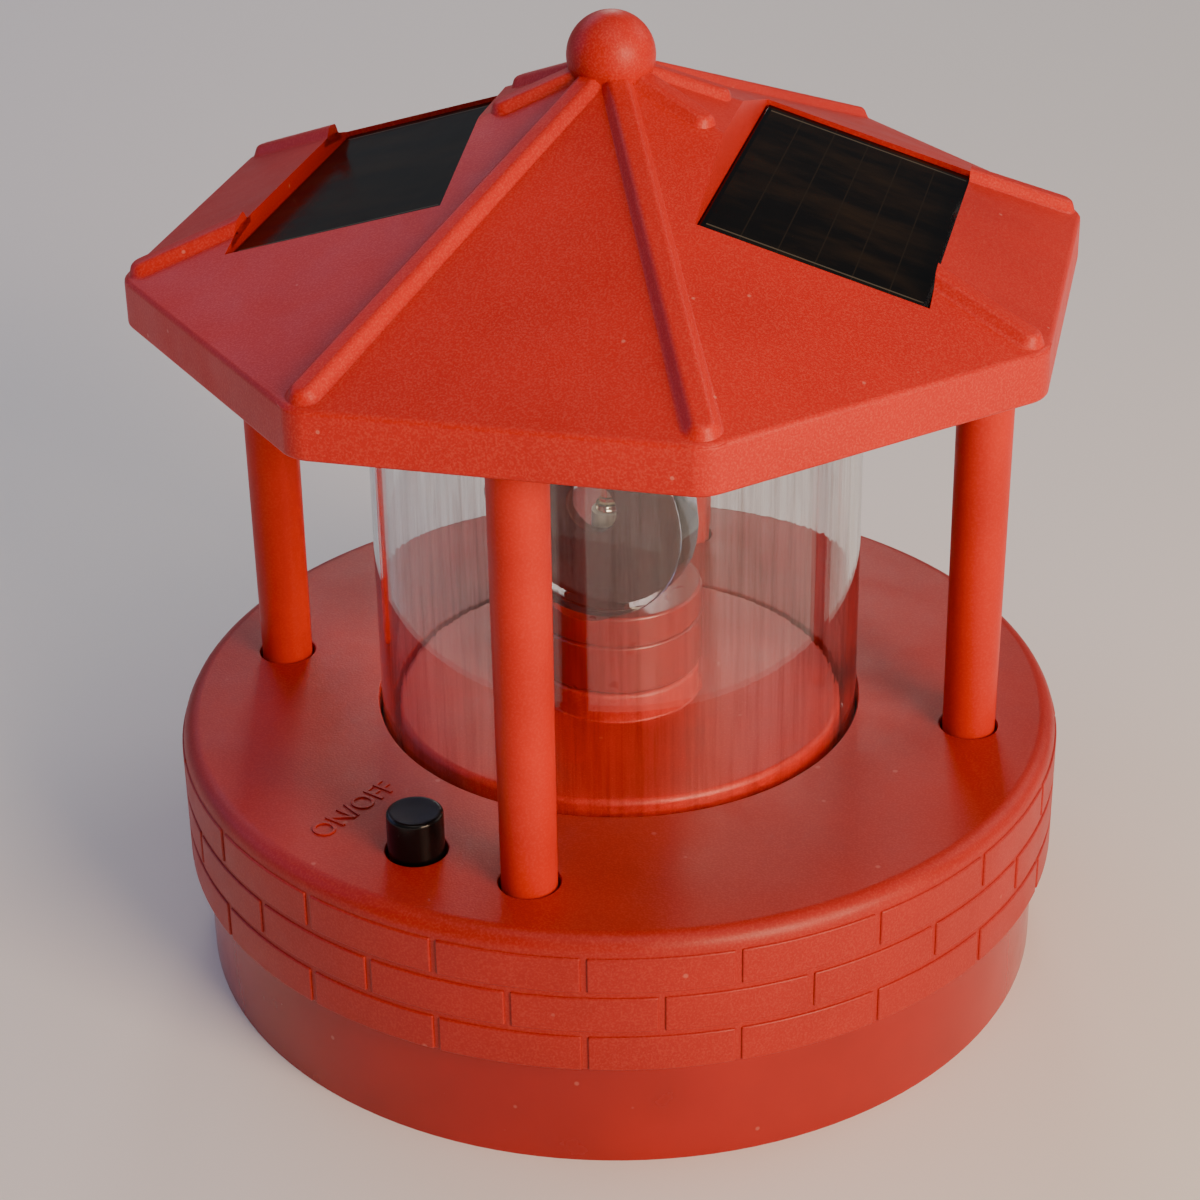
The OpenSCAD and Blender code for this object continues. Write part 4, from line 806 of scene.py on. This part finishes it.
def buildBase():
    s = baseSize
    quarters = (0, 90, 180, 270)
    base = turned('baseShell', [
        (s['inner'], s['low']), (s['wall'], s['low'], 0.2), (s['wall'], s['deck'], s['deckEase']),
        (s['grooveOut'], s['deck'], 0.3), (s['grooveOut'], s['grooveLow']), (s['grooveIn'], s['grooveLow']),
        (s['grooveIn'], s['disc'], s['discEase']), (s['boss'], s['disc'], 0.4),
        (s['boss'], s['bossTop'], s['bossEase']), (s['bore'], s['bossTop'], 0.2), (s['bore'], s['bossLow']),
        (s['bossRoot'], s['bossLow']), (s['bossRoot'], s['under']), (s['channelIn'], s['under']),
        (s['channelIn'], s['channelLow']), (s['channelOut'], s['channelLow']), (s['channelOut'], s['under']),
        (s['inner'], s['under'], 0.6)], steps=180)
    rims = [(onRing(s['socketRing'], angle), s['socket'], s['socketLow']) for angle in quarters]
    rims.append((onRing(s['buttonRing'], s['buttonAngle']), s['buttonHole'], s['under'] - 2))
    for at, radius, low in rims:
        carve(base, cylinder('hole', radius, low, s['deck'] + 2, at, 48))
    startEditing(base)
    pick('EDGE', lambda c, e: abs(c.z - s['deck']) < 0.02 and any(
        abs((Vector(c.xy) - Vector(at)).length - radius) < 0.05 for at, radius, low in rims))
    bpy.ops.mesh.bevel(offset=s['rimEase'] * mm, segments=3)
    leaveEditing()
    cups = []
    for angle in quarters:
        cup = turned('cup', [
            (s['cupBore'], s['cupLow']), (s['cup'], s['cupLow']), (s['cup'], s['cupTop']),
            (s['socket'], s['cupTop']), (s['socket'], s['socketLow']),
            (s['cupBore'], s['socketLow'])], steps=48)
        cup.location = (*[c * mm for c in onRing(s['socketRing'], angle)], 0)
        settle(cup)
        cups.append(cup)
    base = joined('baseShell', base, *cups, *buildBricks(), buildMarks())
    return finished(base, 'base', 'base_housing', grainedAbsDeck, 32)


markSize = dict(words='ON/OFF', size=5.2, wide=16.6, rise=0.16, thinner=0.02, ease=0.05, turn=67.5,
                at=(-30.35, -43.9))


def buildMarks():
    # small raised letters beside the push button
    p = markSize
    bpy.ops.object.select_all(action='DESELECT')
    bpy.ops.object.text_add(location=(0, 0, 0))
    marks = bpy.context.object
    marks.data.body = p['words']
    marks.data.align_x = 'CENTER'
    marks.data.align_y = 'CENTER'
    marks.data.size = p['size'] * mm
    marks.data.extrude = p['rise'] * mm
    marks.data.offset = -p['thinner'] * mm
    marks.data.bevel_depth = p['ease'] * mm
    marks.data.resolution_u = 4
    bpy.ops.object.convert(target='MESH')
    marks = bpy.context.object
    marks.scale.x = p['wide'] * mm / marks.dimensions.x
    settle(marks)
    marks.rotation_euler = (0, 0, radians(p['turn']))
    marks.location = (p['at'][0] * mm, p['at'][1] * mm, baseSize['deck'] * mm)
    settle(marks)
    startEditing(marks)
    closeUp()
    return marks


baseShell = buildBase()
print("base and bricks, faces:", len(baseShell.data.polygons))


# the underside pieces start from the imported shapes, merged and with their edges broken
def easedCopy(node, name, width, look):
    piece = twinOf(frame['nodes'][node], name)
    startEditing(piece)
    bpy.ops.mesh.select_all(action='SELECT')
    bpy.ops.mesh.remove_doubles(threshold=0.002 * mm)
    bpy.ops.mesh.select_all(action='SELECT')
    bpy.ops.mesh.dissolve_limited(angle_limit=radians(0.5))
    leaveEditing()
    softenEdges(piece, width, 2, 40)
    return finished(piece, 'base', node, look, 35)


easedCopy('bottom_tray', 'trayShell', 0.35, polishedAbsSkirt)
easedCopy('battery_door', 'cellDoor', 0.25, polishedAbsSkirt)
easedCopy('roof_ceiling', 'ceilingPlate', 0.2, milledAbsInside)
print("underside eased")

# the push button
buttonSize = dict(ring=55.0, angle=-109.32, radius=4.2, low=35.6, high=47.0, rim=1.2, rimDip=0.08, dish=0.2,
                  bore=2.25, boreTop=38.7)


def buildButton():
    p = buttonSize
    cap = turned('pushButton', [
        (p['bore'], p['low']), (p['radius'], p['low'], 0.3), (p['radius'], p['high'], 0.55),
        (p['radius'] - p['rim'], p['high'] - p['rimDip'], 0.5), (0, p['high'] - p['dish']), (0, p['boreTop']),
        (p['bore'], p['boreTop'])], steps=64)
    cap.location = (*[c * mm for c in onRing(p['ring'], p['angle'])], 0)
    return finished(cap, 'button', 'button_cap', polishedAbsButton, 50)


buildButton()

# the turning head: two tiers on a sleeve, the plate behind the lens, and the lens
headSize = dict(turn=-15, radius=13.2, low=46.9, middle=55.0, top=60.2, bore=3.0, sleeve=4.5, sleeveEnd=27.0,
                clipLow=27.95, clipHigh=29.05, clipRadius=3.7, register=8.0, registerHigh=57.0, step=0.5,
                capBore=8.05, lensRadius=17.0, lensHeight=76.5, lensBack=5.1, lensFront=11.5, bulge=2.0,
                lensRim=0.7, rings=14, fit=0.05, plate=1.8, plateGap=0.1, plateRadius=15.8, window=4.0,
                foot=10.0, footLow=57.2, footThinner=0.02, slotGap=0.1, slotWide=1.95, slotHigh=4)


def buildHub():
    p = headSize
    lower = turned('hubLower', [
        (p['bore'], p['sleeveEnd']), (p['sleeve'], p['sleeveEnd'], 0.3), (p['sleeve'], p['clipLow']),
        (p['clipRadius'], p['clipLow']), (p['clipRadius'], p['clipHigh']), (p['sleeve'], p['clipHigh']),
        (p['sleeve'], p['low']), (p['radius'], p['low'], 0.45), (p['radius'], p['middle'], 0.4),
        (p['register'], p['middle']), (p['register'], p['registerHigh'], 0.3),
        (p['bore'], p['registerHigh'])], steps=128)
    finished(lower, 'lamp_head', 'hub_lower', polishedAbsHub, 35)
    upper = turned('hubUpper', [
        (p['capBore'], p['middle']), (p['radius'] - p['step'], p['middle']),
        (p['radius'] - p['step'], p['middle'] + p['step']), (p['radius'], p['middle'] + p['step'], 0.2),
        (p['radius'], p['top'], 0.5), (p['bore'], p['top']), (p['bore'], p['footLow']),
        (p['capBore'], p['footLow'])], steps=128)
    saddle = cylinder('saddle', p['lensRadius'] + p['fit'], 0, 20, vertices=128)
    saddle.rotation_euler = (pi / 2, 0, 0)
    saddle.location = (0, (-p['lensBack'] + p['plateGap']) * mm, p['lensHeight'] * mm)
    settle(saddle)
    turnedAbout(saddle, p['turn'])
    carve(upper, saddle)
    bpy.ops.object.select_all(action='DESELECT')
    slotMiddle = -p['lensBack'] + p['plateGap'] + p['slotWide'] / 2
    bpy.ops.mesh.primitive_cube_add(
        size=1, scale=((p['foot'] + p['slotGap']) * mm, p['slotWide'] * mm, p['slotHigh'] * mm),
        location=(0, slotMiddle * mm, (p['footLow'] + p['slotHigh'] / 2) * mm))
    slotCut = bpy.context.object
    settle(slotCut)
    turnedAbout(slotCut, p['turn'])
    carve(upper, slotCut)
    return finished(upper, 'lamp_head', 'hub_upper', polishedAbsHub, 35)


def buildHolder():
    p = headSize
    plate = turned('lensHolder', [
        (p['window'], 0, 0.15), (p['plateRadius'], 0, 0.3), (p['plateRadius'], p['plate'], 0.3),
        (p['window'], p['plate'], 0.15)], steps=128)
    plate.rotation_euler = (pi / 2, 0, 0)
    plate.location = (0, (-p['lensBack'] + p['plateGap'] + p['plate']) * mm, p['lensHeight'] * mm)
    settle(plate)
    startEditing(plate)
    bpy.ops.mesh.select_all(action='SELECT')
    bpy.ops.mesh.bisect(plane_co=(0, 0, p['top'] * mm), plane_no=(0, 0, 1), use_fill=True, clear_inner=True)
    leaveEditing()
    bpy.ops.object.select_all(action='DESELECT')
    high = p['top'] + 1
    bpy.ops.mesh.primitive_cube_add(
        size=1, scale=(p['foot'] * mm, (p['plate'] - p['footThinner']) * mm, (high - p['footLow']) * mm),
        location=(0, (-p['lensBack'] + p['plateGap'] + p['plate'] / 2) * mm, (high + p['footLow']) / 2 * mm))
    foot = bpy.context.object
    settle(foot)
    softenEdges(foot, 0.15, 2)
    plate = joined('lensHolder', plate, foot)
    turnedAbout(plate, p['turn'])
    return finished(plate, 'lamp_head', 'lens_holder', milledAbsHolder, 35)


def buildLens():
    # thick rim, domed front; the flat back lies against the plate
    p = headSize
    thick = p['lensFront'] - p['lensBack']
    dome = (p['lensRadius'] ** 2 + p['bulge'] ** 2) / 2 / p['bulge']
    rings = []
    for k in range(p['rings'] + 1):
        r = (p['lensRadius'] - p['lensRim']) * (1 - k / p['rings'])
        rings.append((r, thick + p['bulge'] - dome + (dome ** 2 - r ** 2) ** 0.5))
    lens = turned('lensClear', [(0, 0), (p['lensRadius'], 0, 0.5), (p['lensRadius'], thick, 0.4)] + rings,
                  steps=144)
    lens.rotation_euler = (pi / 2, 0, 0)
    lens.location = (0, -p['lensBack'] * mm, p['lensHeight'] * mm)
    settle(lens)
    turnedAbout(lens, p['turn'])
    return finished(lens, 'lamp_head', 'lens', polishedAcrylicLens, 30)


buildHub()
buildHolder()
buildLens()
print("lamp head turned")

# studio: pale floor, warm soft key from the right, cool fill from the left, soft lights above and behind
studio = dict(floor='f4f2ee', key=10.0, keyColour='ffd9b8', fill=0.95, fillColour='a6b2ff', top=1.8, back=2.4,
              rim=4.5, side=3.4, world=0.16, worldColour='e9edf6')


def softLight(name, at, size, power, colour, aim=(0, 0, 0.07)):
    bpy.ops.object.select_all(action='DESELECT')
    bpy.ops.object.light_add(type='AREA', location=at)
    lamp = bpy.context.object
    lamp.name = name
    lamp.data.shape = 'RECTANGLE'
    lamp.data.size, lamp.data.size_y = size
    lamp.data.energy = power
    lamp.data.color = hexColour(colour)[:3]
    lamp.rotation_euler = (Vector(at) - Vector(aim)).to_track_quat('Z', 'Y').to_euler()
    return lamp


def setStudio():
    s = studio
    bpy.ops.object.select_all(action='DESELECT')
    bpy.ops.mesh.primitive_plane_add(size=8, location=(0, 0, 0))
    floor = bpy.context.object
    floor.name = 'paleFloor'
    look = emptyLook('paleFloor')
    paint = addNode(look, 'BsdfPrincipled', {'Base Color': hexColour(s['floor']), 'Roughness': 0.7})
    addNode(look, 'OutputMaterial', links={'Surface': paint})
    floor.data.materials.append(look)
    softLight('keyLight', (0.66, -0.5, 0.36), (0.4, 0.4), s['key'], s['keyColour'])
    softLight('fillLight', (-0.75, -0.05, 0.4), (0.6, 0.5), s['fill'], s['fillColour'])
    softLight('topLight', (0.1, -0.25, 0.95), (0.7, 0.7), s['top'], 'fff6ea')
    softLight('backLight', (-0.3, 1.32, 0.68), (0.3, 0.3), s['back'], 'fff4ea')
    softLight('rimLight', (1.1, 0.9, 0.95), (0.9, 0.6), s['rim'], 'fff0e2')
    softLight('sideLight', (-1.0, 1.0, 1.15), (1.0, 0.6), s['side'], 'c9d2ff', (-0.1, 0.4, 0))
    world = bpy.data.worlds.new('studioAir')
    bpy.context.scene.world = world
    world.use_nodes = True
    air = world.node_tree.nodes['Background']
    air.inputs['Color'].default_value = hexColour(s['worldColour'])
    air.inputs['Strength'].default_value = s['world']


def setCamera():
    view = dict(at=(87.203, -364.127, 259.520), turn=13.468, tip=26.552, roll=-0.705, lens=80.56,
                shiftX=-0.01386, shiftY=-0.0767)
    a, e, r = radians(view['turn']), radians(view['tip']), radians(view['roll'])
    back = Vector((sin(a) * cos(e), -cos(a) * cos(e), sin(e)))
    right = Vector((cos(a), sin(a), 0))
    up = back.cross(right)
    rolledRight = right * cos(r) + up * sin(r)
    rolledUp = up * cos(r) - right * sin(r)
    bpy.ops.object.select_all(action='DESELECT')
    bpy.ops.object.camera_add(location=Vector(view['at']) * mm)
    camera = bpy.context.object
    camera.name = 'photoCamera'
    camera.data.sensor_width = 36
    camera.data.lens = view['lens']
    camera.data.shift_x, camera.data.shift_y = view['shiftX'], view['shiftY']
    camera.data.clip_start = 0.01
    camera.rotation_euler = Matrix((rolledRight, rolledUp, back)).transposed().to_euler()
    bpy.context.scene.camera = camera


setStudio()
setCamera()
print("studio and camera set")
